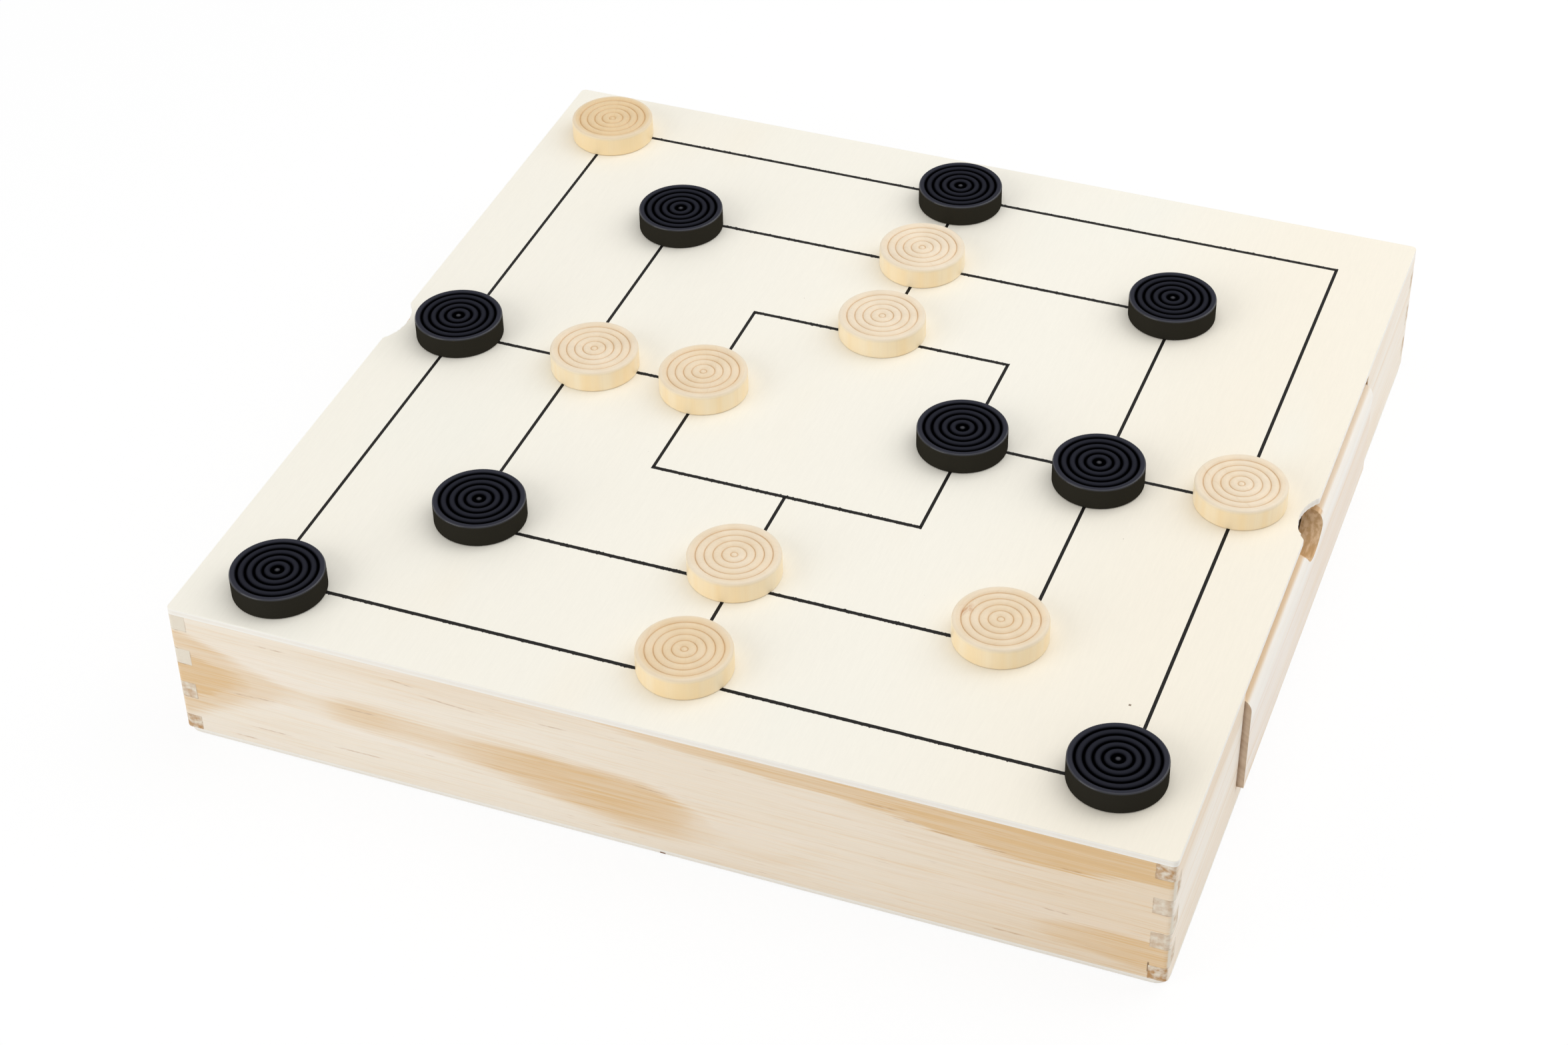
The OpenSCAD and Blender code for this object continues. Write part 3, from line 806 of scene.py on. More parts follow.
# %% [markdown]
# The upper board is one slab with a scallop at the left and the right edge, where a finger reaches the
# drawer. The scallop was cut with a dull tool, so its edge is a little ragged. Only the long upper
# edges are sanded round. The lower board has no scallop and rounder corners.

# %% The two boards
CORNER = 1.6 * MM
BASE_CORNER = 4 * MM
BOARD_EDGE = 1.1 * MM
SCALLOP_HALF = 10 * MM
SCALLOP_DEPTH = 3.6 * MM
RAGGED = 0.35 * MM
SCALLOP_STEPS = 36


def corner_points(half_x, half_y, radius):
    """The four rounded corners, each as a list of points, anticlockwise from the near right one."""
    places = [(1, -1, -90), (1, 1, 0), (-1, 1, 90), (-1, -1, 180)]
    return [
        arc((sx * (half_x - radius), sy * (half_y - radius)), radius, start, start + 90, 6)
        for sx, sy, start in places
    ]


def scallop_points(side, half_x):
    """The ragged scallop at the right (1) or left (-1) edge, in the same direction as the corners."""
    radius = (SCALLOP_HALF ** 2 + SCALLOP_DEPTH ** 2) / (2 * SCALLOP_DEPTH)
    centre = half_x - SCALLOP_DEPTH + radius
    reach = math.degrees(math.asin(SCALLOP_HALF / radius))
    points = arc((centre, 0), radius, 180 + reach, 180 - reach, SCALLOP_STEPS)
    ragged = []
    for i, (x, y) in enumerate(points):
        bite = noise.noise(Vector((i * 0.9, side * 5, 0)))
        bite += 0.6 * noise.noise(Vector((i * 2.3, side * 9, 4)))
        depth = RAGGED * bite if 0 < i < len(points) - 1 else 0
        ragged.append((side * (x + depth), side * y))
    return ragged


def top_board():
    near_right, far_right, far_left, near_left = corner_points(board_hi.x, board_hi.y, CORNER)
    outline = near_right + scallop_points(1, board_hi.x) + far_right
    outline += far_left + scallop_points(-1, board_hi.x) + near_left
    bm = slab(outline, board_lo.z, board_hi.z)

    def sanded(middle, direction):
        in_scallop = abs(middle.y) < SCALLOP_HALF and abs(middle.x) > board_hi.x / 2
        return middle.z > board_hi.z - TINY and abs(direction.z) < 0.5 and not in_scallop

    round_edges(bm, BOARD_EDGE, sanded, steps=4)
    make_piece("top_board", bm, board_finish)


def bottom_board():
    outline = [p for corner in corner_points(base_hi.x, base_hi.y, BASE_CORNER) for p in corner]
    bm = slab(outline, base_lo.z, base_hi.z)
    round_edges(bm, BOARD_EDGE, lambda middle, direction: middle.z < base_lo.z + TINY)
    make_piece("bottom_board", bm, base_finish)


top_board()
bottom_board()
print("boards", round(board_hi.x * 2 / MM, 1), "mm wide")

# %% [markdown]
# The game's lines are screen-printed. Ink creeps along the wood's hairs, so a line that crosses them
# grows small spikes and one that follows them stays clean. Each line is a thin strip of many short
# cells whose outer points are pushed along the hairs by noise, and is then thickened to a closed film.
# A mask in the board's finish would do the same, but it blurs when the finish is baked to a picture.

# %% Printed lines and squares
INK = paint(20, 18, 16)
INK_THIN = paint(44, 38, 33)
INK_RISE = 0.02 * MM
LINE = 1.0 * MM
BLEED = 0.28 * MM
CELL_GAP = 0.15 * MM
PRINT_MARGIN = 2 * MM
SPIKE_WIDTH = 0.35 * MM
SPIKE_CHANGE = 3 * MM
ON_TOP = (board_hi.z, INK_RISE, SPIKE_WIDTH)
UNDERNEATH = (base_lo.z, -INK_RISE, 1.0 * MM)

printed = Finish("printed_ink", {"Roughness": 0.6, "Specular IOR Level": 0.15})
through = printed.noise(printed.x / 0.3, printed.y / 5, printed.z, detail=3, roughness=0.7)
printed.set("Base Color", printed.mix(INK, INK_THIN, through.step(0.0, 0.7)))


def printed_patch(lo, hi, level, rise, pitch):
    """A printed rectangle whose near and far edges are spiky and whose sides are clean.

    level is the height of the wood, rise the ink's thickness and pitch the width of a cell.
    """
    bm = bmesh.new()
    across = max(2, round((hi[0] - lo[0]) / pitch))
    bmesh.ops.create_grid(bm, x_segments=across, y_segments=1, size=0.5)
    bmesh.ops.scale(bm, vec=(hi[0] - lo[0], hi[1] - lo[1], 1), verts=bm.verts)
    bmesh.ops.translate(bm, vec=((lo[0] + hi[0]) / 2, (lo[1] + hi[1]) / 2, level), verts=bm.verts)
    middle = (lo[1] + hi[1]) / 2
    for vert in bm.verts:
        out = 1 if vert.co.y > middle else -1
        spot = Vector((vert.co.x / SPIKE_WIDTH, vert.co.y / SPIKE_CHANGE, out * 7))
        spike = max(0, noise.noise(spot)) ** 1.5 * 2.2 + 0.25 * noise.noise(spot * 0.3)
        vert.co.y += out * BLEED * (0.4 + spike)
    return thicken(bm, rise)


def square_frame(half, surface):
    """Four printed strips that meet at the corners without lying over each other."""
    out = half + LINE / 2
    inside = half - LINE / 2
    spots = [((-out, -out), (out, -inside)), ((-out, inside), (out, out))]
    spots += [((-out, -inside), (-inside, inside)), ((inside, -inside), (out, inside))]
    return [printed_patch(lo, hi, *surface) for lo, hi in spots]


def morris_print():
    step = (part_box("morris_lines")[1].x - LINE / 2) / 3
    parts = []
    for ring in (1, 2, 3):
        parts += square_frame(ring * step, ON_TOP)
    for start in (1, 2):
        near = start * step + LINE / 2
        far = (start + 1) * step - LINE / 2
        for side in (1, -1):
            low, high = sorted((side * near, side * far))
            parts.append(printed_patch((low, -LINE / 2), (high, LINE / 2), *ON_TOP))
            parts.append(printed_patch((-LINE / 2, low), (LINE / 2, high), *ON_TOP))
    make_piece("morris_lines", join(*parts), printed)


def chequer_print():
    frame_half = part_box("chequer_squares")[1].x - LINE / 2
    half = frame_half - LINE / 2 - PRINT_MARGIN
    cell = half / 4
    parts = square_frame(frame_half, UNDERNEATH)
    for i in range(8):
        for j in range(8):
            if (i + j) % 2:
                low = (i * cell - half + CELL_GAP, j * cell - half + CELL_GAP)
                high = (low[0] + cell - 2 * CELL_GAP, low[1] + cell - 2 * CELL_GAP)
                parts.append(printed_patch(low, high, *UNDERNEATH))
    make_piece("chequer_squares", join(*parts), printed)


morris_print()
chequer_print()
print("printed squares and cells")

# %% [markdown]
# The four walls are blocks and one function makes them all. The upright corners are sanded round, then
# the slots for the other wall's fingers are cut. Both walls of a corner take them from one list of
# heights, so they fit. The side walls also have the opening that a drawer slides through.

# %% Walls
SEAM = 0.2 * MM
OPENING_EDGE = 0.4 * MM
CUT = 5 * MM
SLIDE_GAP = 0.5 * MM


def finger_bands():
    """Bottom and top of each side-wall finger."""
    bands = [(FIRST_EDGE * MM, front_hi.z + CUT)]
    top = FIRST_EDGE - FINGER_SPACE
    while top > front_lo.z / MM:
        low = max(top - FINGER, front_lo.z / MM - CUT / MM)
        bands.append((low * MM, top * MM))
        top -= FINGER_STEP
    return bands


def spaces_between(bands):
    """The heights between those bands, where the end walls' fingers are."""
    edges = [edge for band in bands for edge in reversed(band)]
    edges = [front_hi.z + CUT, *edges, front_lo.z - CUT]
    return [(low, high) for low, high in zip(edges[1::2], edges[::2]) if high - low > TINY]


def drawer_opening(side):
    """Half the width of a side wall's opening, and the height of the rail below it."""
    drawer_lo, drawer_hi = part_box(side + "_drawer_front")
    return drawer_hi.y + SLIDE_GAP, drawer_lo.z - SLIDE_GAP


def wall(name, axis, side, finish, opening=None):
    """A wall on that side (-1 or 1) of an axis (0 or 1), slotted for the fingers of its neighbours.

    opening holds half the width of a drawer's opening and the height of the rail below it.
    """
    lo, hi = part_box(name)
    bm = block(lo, hi)
    run = 1 - axis
    outer = (hi if side > 0 else lo)[axis]

    def cut(start, end, low, high):
        """A block that reaches right through the wall."""
        near = [lo[axis] - CUT, lo[axis] - CUT, low]
        far = [hi[axis] + CUT, hi[axis] + CUT, high]
        near[run] = start
        far[run] = end
        return block(near, far)

    def outer_corner(middle, direction):
        return abs(direction.z) > 0.9 and abs(middle[axis] - outer) < TINY

    def outer_rim(middle, direction):
        return abs(direction[run]) > 0.9 and abs(middle[axis] - outer) < TINY

    def opening_rim(middle, direction):
        half, rail = opening
        beside = abs(abs(middle[run]) - half) < TINY and middle.z > rail
        below = abs(middle.z - rail) < TINY and abs(middle[run]) < half
        return (beside or below) and abs(direction[axis]) < 0.1

    round_edges(bm, CORNER, outer_corner, steps=6)
    bands = spaces_between(finger_bands()) if opening else finger_bands()
    slots = [cut(end * INNER, end * (hi[run] + CUT), *band) for band in bands for end in (-1, 1)]
    if opening:
        slots.append(cut(-opening[0], opening[0], opening[1], hi.z + CUT))
    bm = carve(bm, join(*slots))
    if opening:
        round_edges(bm, OPENING_EDGE, opening_rim, steps=2)
    round_edges(bm, SEAM, outer_rim, steps=2)
    make_piece(name, bm, finish)


X_AXIS, Y_AXIS = 0, 1
wall("front_wall", Y_AXIS, -1, front_pine)
wall("back_wall", Y_AXIS, 1, back_pine)
wall("right_wall", X_AXIS, 1, side_pine, drawer_opening("right"))
wall("left_wall", X_AXIS, -1, side_pine, drawer_opening("left"))
print("four walls with", len(finger_bands()), "fingers at each corner")

# %% [markdown]
# A drawer is a shallow pine box. Its front stands two millimetres out of the wall and is rounded over
# above. A thumb hole is bored through its upper edge, under the board's scallop, and a splinter broke
# out of the hole's inner rim. The upper edge is tan, partly the wood's colour and partly painted shade
# under the board. The cut ends are brown, with painted shade where they meet the wall. The left
# drawer is the right one turned half round, so both are made by one function.

# %% Drawers
SIDES = {1: "right", -1: "left"}
FRONT_ROUND = 4 * MM
THUMB = 11 * MM
THUMB_DROP = 1.5 * MM
DRAWER_EDGE = 0.5 * MM
BORE_STEPS = 72
FRONT_BODY = paint(248, 242, 235)
# The drawer front's tan, which along the upper edge also stands for painted shade under the board.
FRONT_TAN = paint(226, 190, 142)
FRONT_PALE = paint(251, 248, 241)
FRONT_END = paint(216, 194, 170)
# Dark end grain, also used as painted shade where the end meets the wall.
FRONT_END_DARK = paint(178, 148, 120)
BORE = paint(204, 160, 108)
BORE_PALE = paint(244, 212, 172)
CHIP_DEPTH = 1.6 * MM
CHIP_ACROSS = (6.3 * MM, 11.5 * MM)
CHIP_BELOW_TOP = (10 * MM, 2.5 * MM)


def worn_front(finish, colour):
    """A tan upper edge, partly the wood and partly painted shade under the board, brown ends with painted
    shade where they meet the wall, and a bore that the cutter left streaky and brown.
    """
    front_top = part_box("right_drawer_front")[1].z / MM
    wave = finish.noise(finish.y / 30, finish.z / 6, 2, detail=2) * 0.3
    # Along the upper edge the tan is partly the wood's colour and partly painted shade under the board.
    high = (finish.z + wave).step(front_top - 1.5, front_top - 0.6)
    low = (finish.z.step(34, 28) * (0.08 + finish.y.step(-30, 20) * 0.14)).most(finish.z.step(17, 12) * 0.22)
    colour = finish.mix(colour, FRONT_PALE, finish.z.step(31, 36) * 0.7)
    colour = finish.mix(colour, FRONT_TAN, (high * (0.8 - finish.y.step(-5, 30) * 0.25)).most(low))
    ring = finish.noise((finish.z + abs(finish.x) * 0.7) / 2.6, finish.y / 20, 6, detail=3, roughness=0.6)
    # Painted shade on the cut end where it meets the wall.
    shade_by_wall = abs(finish.x).step(front_hi.x / MM + 1.2, front_hi.x / MM)
    cut = finish.mix(FRONT_END, FRONT_END_DARK, (ring.step(-0.3, 0.5) * 0.6 + shade_by_wall * 0.5).least(1))
    colour = finish.mix(colour, cut, abs(finish.facing["y"]).step(0.5, 0.8))
    rise = finish.z - (board_hi.z - THUMB_DROP) / MM
    from_bore = distance(finish.y, rise)
    torn = finish.y.step(1, 7) * 1.8
    through = (from_bore - torn).step(THUMB / MM + 0.5, THUMB / MM + 0.15)
    through = through * (1 - abs(finish.facing["x"]).step(0.5, 0.9))
    streak = finish.noise(finish.x / 1.3, finish.y / 9, finish.z / 1.3, detail=2, roughness=0.6)
    bored = finish.mix(BORE, BORE_PALE, streak.step(-0.35, 0.35) * 0.75 + finish.y.step(-2, 8) * 0.2)
    return finish.mix(colour, bored, through)


drawer_front_finish = pine("drawer_front_pine", "y", "z", straight_rings, FRONT_BODY, over=worn_front)
tray_side = pine("tray_side_pine", "x", "z", straight_rings)
tray_back = pine("tray_back_pine", "y", "z", straight_rings)
tray_floor = plywood("tray_plywood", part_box("right_drawer_floor")[0].z / MM, grain="x")


def drawer_front(side):
    """The right (1) or left (-1) drawer's front with its rounded top, thumb hole and chip."""
    name = SIDES[side] + "_drawer_front"
    lo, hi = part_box(name)
    inner, outer = (lo.x, hi.x) if side > 0 else (hi.x, lo.x)
    bm = block(lo, hi)

    def upper_edge(middle, direction):
        return abs(direction.y) > 0.9 and middle.z > hi.z - TINY and abs(middle.x - outer) < TINY

    round_edges(bm, FRONT_ROUND, upper_edge, steps=8)
    reach = hi.x - lo.x
    bore = spun([(0, -reach), (THUMB, -reach), (THUMB, reach), (0, reach)], BORE_STEPS)
    place = Matrix.Translation(((lo.x + hi.x) / 2, 0, board_hi.z - THUMB_DROP))
    bm = carve(bm, moved(bore, place @ turn(90, "Y")))
    starts = (inner - side * CUT, side * CHIP_ACROSS[0], hi.z - CHIP_BELOW_TOP[0])
    ends = (inner + side * CHIP_DEPTH, side * CHIP_ACROSS[1], hi.z - CHIP_BELOW_TOP[1])
    bm = carve(bm, block(starts, ends))

    def sharp(middle, direction):
        at_end = abs(abs(middle.y) - hi.y) < TINY
        at_foot = middle.z < lo.z + TINY
        from_bore = math.hypot(middle.y, middle.z - board_hi.z + THUMB_DROP)
        at_rim = abs(from_bore - THUMB) < 0.1 * MM and abs(middle.x - outer) < TINY
        if abs(direction.y) < 0.5 and at_end:
            return True
        return (at_foot and abs(direction.y) > 0.5) or (at_rim and abs(direction.x) < 0.5)

    round_edges(bm, DRAWER_EDGE, sharp, steps=2)
    make_piece(name, bm, drawer_front_finish, SIDES[side] + "_drawer")


def plain_board(name, body, finish):
    """A plain board, with all its edges rounded a little."""
    bm = block(*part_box(name))
    round_edges(bm, DRAWER_EDGE, steps=2)
    make_piece(name, bm, finish, body)


TRAY_PARTS = {
    "near_side": (tray_side, "pale_pine"),
    "far_side": (tray_side, "pale_pine"),
    "back": (tray_back, "pale_pine"),
    "floor": (tray_floor, "drawer_plywood"),
}
for side, word in SIDES.items():
    drawer_front(side)
    for part, (finish, slot) in TRAY_PARTS.items():
        plain_board(word + "_drawer_" + part, word + "_drawer", finish)
print("two drawers")

# %% [markdown]
# Five plain strips inside carry, guide and stop the drawers. Nobody sees them while the drawers are
# in, and they show only through the open side, so they are the same pine, left rough.

# %% Inner strips
INNER_PALE = paint(233, 214, 186)
inner_along = pine("inner_pine", "x", "z", straight_rings, INNER_PALE)
inner_across = pine("inner_stop_pine", "y", "z", straight_rings, INNER_PALE)
for name in ("front_runner", "back_runner", "front_guide", "back_guide", "centre_stop"):
    plain_board(name, "box", inner_across if name == "centre_stop" else inner_along)
print("inner strips")

# %% [markdown]
# Discs and figures are turned from maple dowels, so the tops are cut ends with faint arcs of yearly
# rings, and the sides carry upright streaks. The three spare discs are one mesh and so are the eight
# pawns, yet each is its own piece of wood. So every mesh carries two attributes: home, the point's own
# place on its piece, turned by a different angle each time, and tree, which holds a number that no
# other piece has, how warm its wood is, and whether it has a stain.

# %% Turned wood and black paint
MAPLE_PALE = paint(241, 226, 203)
MAPLE_WARM = paint(230, 203, 160)
MAPLE_RING = paint(214, 178, 132)
MAPLE_SIDE = paint(255, 238, 205)
MAPLE_SIDE_WARM = paint(255, 230, 184)
# Painted highlight along the light discs' rounded rim.
MAPLE_RIM_HIGHLIGHT = paint(237, 225, 204)
GROOVE_BROWN = paint(206, 166, 114)
STAIN = paint(196, 138, 84)
BLACK = paint(24, 24, 25)
BLACK_DUST = paint(110, 108, 104)
# The black discs' valleys carry painted shade, and their ridges carry a painted bluish sheen.
BLACK_VALLEY_SHADE = paint(1, 1, 2)
BLACK_RIDGE_SHEEN = paint(41, 42, 50)
# Painted glint in the middle of a black disc.
BLACK_CENTRE_GLINT = paint(74, 74, 78)
# Painted highlight on the outer ridge of a black disc.
BLACK_OUTER_RIDGE_HIGHLIGHT = paint(64, 65, 74)
# The black side's lighter, browner colour is painted light thrown up from the pale board.
BLACK_SIDE_BOUNCE = paint(45, 43, 37)
STAIN_X, STAIN_Y = -9.3, -3.1
TREE_X, TREE_Y = -34, 12
GROOVE_COUNT = 5
GROOVES = {"light": (1.0, 10.9), "black": (1.6, 11.4)}
disc_lo, disc_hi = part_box("black_disc_1")
DISC_RADIUS = (disc_hi.x - disc_lo.x) / 2 / MM
DISC_HEIGHT = (disc_hi.z - disc_lo.z) / MM


def groove_pitch(tint):
    first, last = GROOVES[tint]
    return (last - first) / (GROOVE_COUNT - 1)


def tree_of(finish):
    """The number of a piece, how warm its wood is and how stained."""
    return finish.parts(finish.node("ShaderNodeAttribute", {"attribute_name": "tree"}, output="Vector"))


def turned_maple(name, over=None):
    """Pale turned wood. over lays on what only the discs have."""
    finish = Finish(name, {"Roughness": 0.36, "Specular IOR Level": 0.4}, home="home")
    seed, warmth, stain = tree_of(finish)
    x, y, z = finish.x, finish.y, finish.z
    bend = finish.noise(x / 8, y / 8, seed * 5, detail=1)
    ring = distance(x - TREE_X, y - TREE_Y) + z * 0.04 + bend
    rings = finish.noise(ring / 1.1, seed * 9, z / 60, detail=2, roughness=0.6)
    streaks = finish.noise(x / 1.1 + seed * 40, y / 1.1, z / 60, detail=3, roughness=0.6)
    panels = finish.noise(x / 4 + seed * 40, y / 4, z / 60, detail=1)
    pores = finish.noise(x / 0.3, y / 0.3 + seed * 70, z / 14, detail=2, roughness=0.7)
    clouds = finish.noise(x / 7, y / 7 + seed * 20, z / 25, detail=1)
    top = finish.mix(MAPLE_PALE, MAPLE_WARM, (warmth * 0.9 + clouds * 0.2).step(0, 1))
    top = finish.mix(top, MAPLE_RING, rings.step(0.05, 0.7) * (warmth * 0.3 + 0.14))
    side = finish.mix(MAPLE_SIDE, MAPLE_SIDE_WARM, (warmth * 0.6 + panels * 0.8 + 0.15).step(0, 0.9))
    side = finish.mix(side, MAPLE_RING, streaks.step(0.0, 0.8) * 0.14)
    upward = finish.facing["z"].step(0.3, 0.7)
    colour = finish.mix(side, top, upward)
    if over:
        colour = over(finish, colour, upward, seed, stain)
    finish.set("Base Color", finish.shade(colour, 1 + pores * 0.03))
    finish.relief(pores * 0.006)
    return finish


def grooves_and_stain(finish, colour, upward, seed, stain):
    """A painted highlight on the rounded rim, brown grooves, a painted sheen that fans out from the
    middle and the stain of one disc.
    """
    x, y, z = finish.x, finish.y, finish.z
    first, last = GROOVES["light"]
    pitch = groove_pitch("light")
    radius = distance(x, y)
    # Painted highlight: the rounded rim is made paler.
    rim_highlight = radius.step(DISC_RADIUS - 1.5, DISC_RADIUS - 0.7) * z.step(DISC_HEIGHT - 1.5, DISC_HEIGHT - 0.5)
    colour = finish.mix(colour, MAPLE_RIM_HIGHLIGHT, rim_highlight * 0.45)
    # Painted sheen: lighter and darker fans round the middle of the top.
    painted_sheen = finish.noise(x / radius * 2, y / radius * 2, seed * 3.7, detail=1) * radius.step(0.5, 3)
    colour = finish.shade(colour, 1 + painted_sheen * upward * 0.06)
    from_groove = (radius - first + pitch / 2) % pitch - pitch / 2
    depth = finish.noise(x / 5, y / 5 + seed * 30, 3, detail=1) * 0.35 + 0.55
    line = abs(from_groove).step(0.26, 0.06) * z.step(DISC_HEIGHT - 2.2, DISC_HEIGHT - 1.6)
    line = line * radius.step(last + 0.5, last + 0.3)
    colour = finish.mix(colour, GROOVE_BROWN, line * depth)
    spot = distance((x - STAIN_X) / 1.3, (y - STAIN_Y) / 2.8)
    soaked = finish.noise(x / 0.9, y / 2.5, 8, detail=2).step(-0.4, 0.4) * spot.step(1.3, 0.3)
    return finish.mix(colour, STAIN, soaked * stain * upward * 0.8)


def black_paint(name, over=None):
    fixed = {"Roughness": 0.45, "Specular IOR Level": 0.0, "Coat Weight": 0.3, "Coat Roughness": 0.12}
    finish = Finish(name, fixed, home="home")
    seed = tree_of(finish)[0]
    x, y, z = finish.x, finish.y, finish.z
    skin = finish.noise(x / 0.6, y / 0.6 + seed * 40, z / 0.6, detail=2)
    dust = finish.noise(x / 0.22 + seed * 60, y / 0.22, z / 0.22, detail=0).step(0.78, 0.84)
    few = finish.noise(x / 3, y / 3 + seed * 30, z / 3, detail=0).step(0.05, 0.3)
    colour = over(finish) if over else BLACK
    finish.set("Base Color", finish.mix(colour, BLACK_DUST, dust * few * 0.6))
    finish.set("Roughness", 0.45 + skin * 0.06)
    finish.relief(skin * 0.008)
    return finish


def black_ripples(finish):
    """Painted shade in the valleys and a painted bluish sheen on the ridges, a painted glint in the
    middle, a painted highlight on the outer ridge, a lighter and browner side that is painted light
    thrown up from the board, and a rim that hands have polished.
    """
    radius = distance(finish.x, finish.y)
    upward = finish.facing["z"]
    # Painted light by height: ridge tops are lighter and bluish as a sheen, and valleys are near black as
    # shade.
    ridge_sheen = finish.z.step(DISC_HEIGHT - 0.5, DISC_HEIGHT)
    top = finish.mix(BLACK_VALLEY_SHADE, BLACK_RIDGE_SHEEN, ridge_sheen)
    # Painted glint in the middle.
    top = finish.mix(top, BLACK_CENTRE_GLINT, radius.step(0.9, 0.2))
    # Painted highlight on the outer ridge.
    top = finish.mix(top, BLACK_OUTER_RIDGE_HIGHLIGHT, radius.step(11.6, 12.2) * ridge_sheen * 0.5)
    polished = upward.step(0.1, 0.4) * upward.step(0.99, 0.85) * radius.step(12.5, 12.9)
    finish.set("Coat Weight", polished * 0.7)
    # The side gets painted bounce light from the board, and the top gets the ridges and valleys.
    return finish.mix(BLACK_SIDE_BOUNCE, top, upward.step(0.2, 0.5))


disc_finishes = {
    "light": turned_maple("varnished_maple_disc", grooves_and_stain),
    "black": black_paint("black_paint_disc", black_ripples),
}
figure_finishes = {
    "light": turned_maple("varnished_maple_figure"),
    "black": black_paint("black_paint_figure"),
}
print("maple and black paint; grooves", round(groove_pitch("light"), 3), "mm apart")

# %% [markdown]
# A disc is its half outline spun round. The top is a row of rounded ripples, half a sine wave each, so
# that two of them meet in a sharp valley as a turning tool leaves it. Outside the last valley a short
# shoulder rises to the level rim. The rim's quarter circle gets many points, because a highlight runs
# along it.

# %% Discs
GROOVE_DEPTH = 0.7
FOOT_ROUND = 0.4
RIM_ROUNDS = {"light": 0.9, "black": 0.6}
RIPPLE_POINTS = 10
SHOULDER = 1.0


def disc_profile(tint):
    """Half outline of a disc, from the middle of its foot to the middle of its top, in millimetres."""
    first, groove = GROOVES[tint]
    pitch = groove_pitch(tint)
    rim_round = RIM_ROUNDS[tint]
    rim_top = DISC_RADIUS - rim_round
    points = [(0, 0)] + arc((DISC_RADIUS - FOOT_ROUND, FOOT_ROUND), FOOT_ROUND, -90, 0, 3)
    points += arc((rim_top, DISC_HEIGHT - rim_round), rim_round, 0, 90, 8)

    def ripple(start, end, begin, finish, height=1.0):
        """Part of a sine wave between two radii, from one phase in degrees to another."""
        for i in range(1, RIPPLE_POINTS + 1):
            share = i / RIPPLE_POINTS
            lift = math.sin(math.radians(begin + (finish - begin) * share))
            points.append((start + (end - start) * share, DISC_HEIGHT - GROOVE_DEPTH * (1 - height * lift)))

    ripple(min(rim_top, groove + SHOULDER), groove, 90, 180)
    while groove > first + 0.1:
        ripple(groove, groove - pitch, 0, 180)
        groove -= pitch
    ripple(groove, 0, 0, 90, 0.6)
    return points


def keep_home(bm, angle, seed, warmth=0.4, stain=0):
    """Stores each point's own place on its piece, turned about the piece's axis, and the piece's tree."""
    home = bm.verts.layers.float_vector.new("home")
    tree = bm.verts.layers.float_vector.new("tree")
    spin = Matrix.Rotation(angle, 3, "Z")
    for vert in bm.verts:
        vert[home] = spin @ vert.co
        vert[tree] = (seed, warmth, stain)
    return bm


def disc(place, tint, seed, warmth=0.4, stain=0):
    """One disc standing on that point, with its grain turned by its seed."""
    bm = spun([(radius * MM, height * MM) for radius, height in disc_profile(tint)])
    return moved(keep_home(bm, seed * 2.4, seed, warmth, stain), Matrix.Translation(place))


def foot_of(name):
    """The middle of the foot of what the model holds under that name."""
    lo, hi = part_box(name)
    return Vector(((lo.x + hi.x) / 2, (lo.y + hi.y) / 2, lo.z))


STAINED_DISC = 8
DISC_WARMTH = [1.15, 0.3, 0.3, 0.4, 0.55, 0.35, 0.4, 0.5, 0.7]
TINTS = {"light": ("varnished_maple", "right_drawer"), "black": ("black_paint", "left_drawer")}
SPARE = 3
for tint, (slot, drawer) in TINTS.items():
    for number, warmth in enumerate(DISC_WARMTH, 1):
        name = tint + "_disc_" + str(number)
        made = disc(foot_of(name), tint, number, warmth, int(number == STAINED_DISC))
        make_piece(name, made, disc_finishes[tint], name)
    name = "spare_" + tint + "_discs"
    lo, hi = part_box(name)
    pitch = (hi.z - lo.z - DISC_HEIGHT * MM) / (SPARE - 1)
    stack = [disc(foot_of(name) + Vector((0, 0, i * pitch)), tint, 10 + i) for i in range(SPARE)]
    make_piece(name, join(*stack), disc_finishes[tint], drawer)
print("discs", DISC_RADIUS * 2, "mm across")

# %% [markdown]
# The chess figures lie in the drawers and show only when one is pulled out. Each is turned like the
# discs: a rounded foot, a hollow stem and a collar, then its own head. Where they lie is read from
# the measured model: its loose solids are found one by one, and the tilt follows from a figure resting
# on its foot and on the widest place near its head. A figure's lengths are shares of its height or of
# its foot's width. Only the knight's thickness is a length of its own.

# %% Chess figures
HEAD_T = 7.5
FOOT_SHARE = 0.1
FIGURE_STEPS = 48


def stem_profile(height, radius, neck_z, neck_r, collar_r):
    """Foot, hollow stem and collar, from the middle of the foot up to the top of the collar."""
    foot = FOOT_SHARE * height
    collar = foot / 2
    edge = 0.3 * foot
    points = [(0, 0)] + arc((radius - edge, edge), edge, -90, 0, 3)
    points += arc((radius - edge, foot - edge), edge, 0, 90, 3)
    for i in range(11):
        share = i / 10
        points.append((neck_r + (0.82 * radius - neck_r) * (1 - share) ** 2, foot + (neck_z - foot) * share))
    points += arc((collar_r - collar / 2, neck_z + collar / 2), collar / 2, -90, 90, 6)
    return points


def pawn(height, base):
    head = 0.33 * base
    profile = stem_profile(height, base / 2, height - 2.05 * head, 0.17 * base, 0.3 * base)
    start = math.degrees(math.asin((profile[-1][1] - height + head) / head))
    return spun(profile + arc((0, height - head), head, start, 90, 12), FIGURE_STEPS)


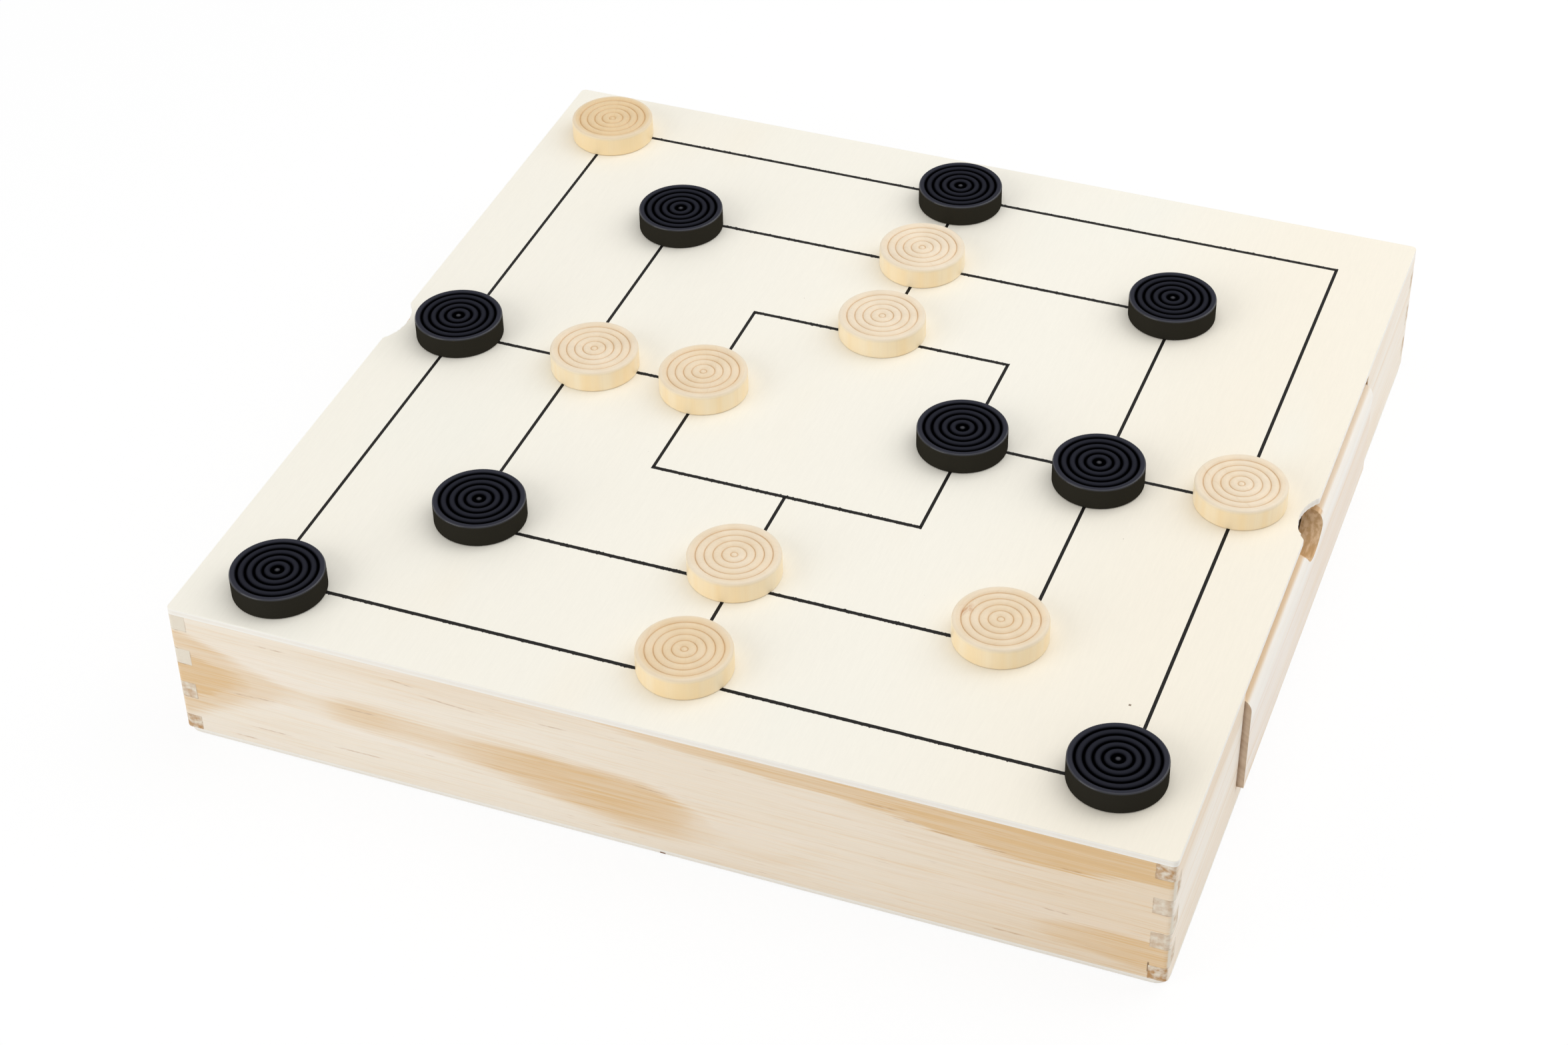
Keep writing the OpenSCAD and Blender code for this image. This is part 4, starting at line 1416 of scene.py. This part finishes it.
def rook(height, base):
    top = 0.4 * base
    crown = 0.22 * height
    profile = stem_profile(height, base / 2, height - 1.2 * crown, 0.26 * base, 0.36 * base)
    inner = 0.65 * top
    profile += [(0.8 * top, height - crown), (top, height - 0.8 * crown), (top, height)]
    profile += [(inner, height), (inner, height - crown / 2), (0, height - crown / 2)]
    bm = spun(profile, FIGURE_STEPS)
    long, narrow, deep = 1.5 * top, 0.175 * top, 0.35 * crown
    for x, y in ((long, narrow), (narrow, long)):
        bm = carve(bm, block((-x, -y, height - deep), (x, y, height + deep)))
    return bm


def bishop(height, base):
    ball = 0.09 * base
    foot_z = 0.66 * height
    mitre_h = height - foot_z - 1.3 * ball
    mitre_r = 0.25 * base
    profile = stem_profile(height, base / 2, foot_z - 0.04 * height, 0.15 * base, 0.3 * base)
    for x, y in arc((0, 0), 1, -40, 80, 12):
        profile.append((mitre_r * x, foot_z + mitre_h * (0.4 + 0.6 * y)))
    profile += [(0.3 * ball, foot_z + mitre_h)] + arc((0, height - ball), ball, -50, 90, 8)
    size = Vector((0.45 * mitre_r, 2 * mitre_r, 0.1 * mitre_r))
    place = Matrix.Translation((mitre_r, 0, foot_z + 0.8 * mitre_h))
    return carve(spun(profile, FIGURE_STEPS), moved(block(-size, size), place @ turn(-50, "Y")))


def cup_profile(height, base, cup_z, cup, neck, flare):
    """A stem and the cup that opens above it, for the king and the queen."""
    profile = stem_profile(height, base / 2, cup_z - 0.05 * height, neck * base, 0.3 * base)
    for i in range(9):
        share = i / 8
        profile.append(((0.16 + flare * share ** 1.4) * base, cup_z + cup * share))
    return profile


def queen(height, base):
    cup_z = 0.74 * height
    cup = 0.2 * height
    profile = cup_profile(height, base, cup_z, cup, 0.14, 0.14)
    profile += [(0.22 * base, cup_z + cup), (0.14 * base, cup_z + 0.93 * cup)]
    profile += arc((0, height - 0.11 * base), 0.11 * base, -30, 90, 8)
    return spun(profile, FIGURE_STEPS)


def king(height, base):
    cup_z = 0.7 * height
    cup = 0.16 * height
    lid_z = cup_z + cup + 0.04 * height
    profile = cup_profile(height, base, cup_z, cup, 0.15, 0.13)
    profile += [(0.25 * base, cup_z + cup), (0.08 * base, lid_z), (0, lid_z)]
    bar = 0.09 * base
    arm_z = height - 2.4 * bar
    upright = block((-bar / 2, -bar / 2, cup_z + cup), (bar / 2, bar / 2, height))
    arms = block((-bar / 2, -1.6 * bar, arm_z), (bar / 2, 1.6 * bar, arm_z + bar))
    for part in (upright, arms):
        round_edges(part, 0.12 * bar, steps=2)
    return join(spun(profile, FIGURE_STEPS), upright, arms)


HORSE_HEAD = [
    (-0.7, 0), (-0.95, 0.35), (-0.85, 0.65), (-0.5, 0.9), (-0.2, 1.0), (0.1, 0.92), (0.45, 0.75),
    (0.95, 0.5), (1.0, 0.38), (0.7, 0.28), (0.3, 0.4), (0.1, 0.38), (0.35, 0.2), (0.7, 0),
]


def knight(height, base):
    foot_z = 0.3 * height
    head = height - foot_z
    half = 0.46 * base
    profile = stem_profile(height, base / 2, foot_z - 0.05 * height, 0.3 * base, 0.4 * base)
    body = spun(profile + [(0, foot_z)], FIGURE_STEPS)
    flat = slab([(x * half, -z * head) for x, z in HORSE_HEAD], -HEAD_T / 2 * MM, HEAD_T / 2 * MM)
    stand = Matrix(((0, 0, 1, 0), (1, 0, 0, 0), (0, -1, 0, foot_z), (0, 0, 0, 1)))

    def outline_edge(middle, direction):
        return abs(direction.x) < 0.1 and middle.z > foot_z + TINY

    cut = moved(flat, stand)
    round_edges(cut, 0.06 * base, outline_edge)
    return join(body, cut)


# For each figure its height, the width of its foot, and the height and radius of the place near its
# head on which it rests when it lies down, all in millimetres.
FIGURES = {
    "king": (king, 50, 19, 43, 5.51),
    "queen": (queen, 45, 18, 42.3, 5.4),
    "bishops": (bishop, 40, 16, 27.6, 4.8),
    "knights": (knight, 35, 17, 35, HEAD_T / 2),
    "rooks": (rook, 29, 16, 29, 6.4),
    "pawns": (pawn, 26, 14, 21.38, 4.62),
}


def solids_of(node):
    """Lowest and highest corner of each loose solid of a measured node."""
    bm = bmesh.new()
    bm.from_mesh(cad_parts[node].data)
    bmesh.ops.remove_doubles(bm, verts=bm.verts, dist=TINY)
    waiting = set(bm.verts)
    boxes = []
    while waiting:
        found = [waiting.pop()]
        for vert in found:
            for edge in vert.link_edges:
                other = edge.other_vert(vert)
                if other in waiting:
                    waiting.remove(other)
                    found.append(other)
        spots = [vert.co for vert in found]
        boxes.append((Vector(map(min, *spots)), Vector(map(max, *spots))))
    bm.free()
    return sorted(boxes, key=lambda pair: (round(pair[0].x, 4), pair[0].y))


def laid_figures(tint, kind, seed):
    """All figures of one kind and colour, as they lie in their drawer."""
    side = 1 if tint == "light" else -1
    make = FIGURES[kind][0]
    height, base, top_z, top_r = [size * MM for size in FIGURES[kind][1:]]
    foot = FOOT_SHARE * height
    tilt = math.atan((base / 2 - top_r) / (top_z - foot))
    lift = foot * math.sin(tilt) + base / 2 * math.cos(tilt)
    lie = turn(0 if side > 0 else 180, "Z") @ turn(90 + math.degrees(tilt), "Y")
    laid = []
    for count, (lo, hi) in enumerate(solids_of(tint + "_" + kind)):
        bm = keep_home(make(height, base), seed + 1.7 * count, seed + 0.37 * count)
        start = lo.x if side > 0 else hi.x
        place = (start + side * base / 2 * math.sin(tilt), (lo.y + hi.y) / 2, lo.z + lift)
        laid.append(moved(bm, Matrix.Translation(place) @ lie))
    return join(*laid)


for tint, (slot, drawer) in TINTS.items():
    for seed, kind in enumerate(FIGURES):
        made = laid_figures(tint, kind, 20 + 3 * seed)
        make_piece(tint + "_" + kind, made, figure_finishes[tint], drawer)
print("sixteen figures of each colour")
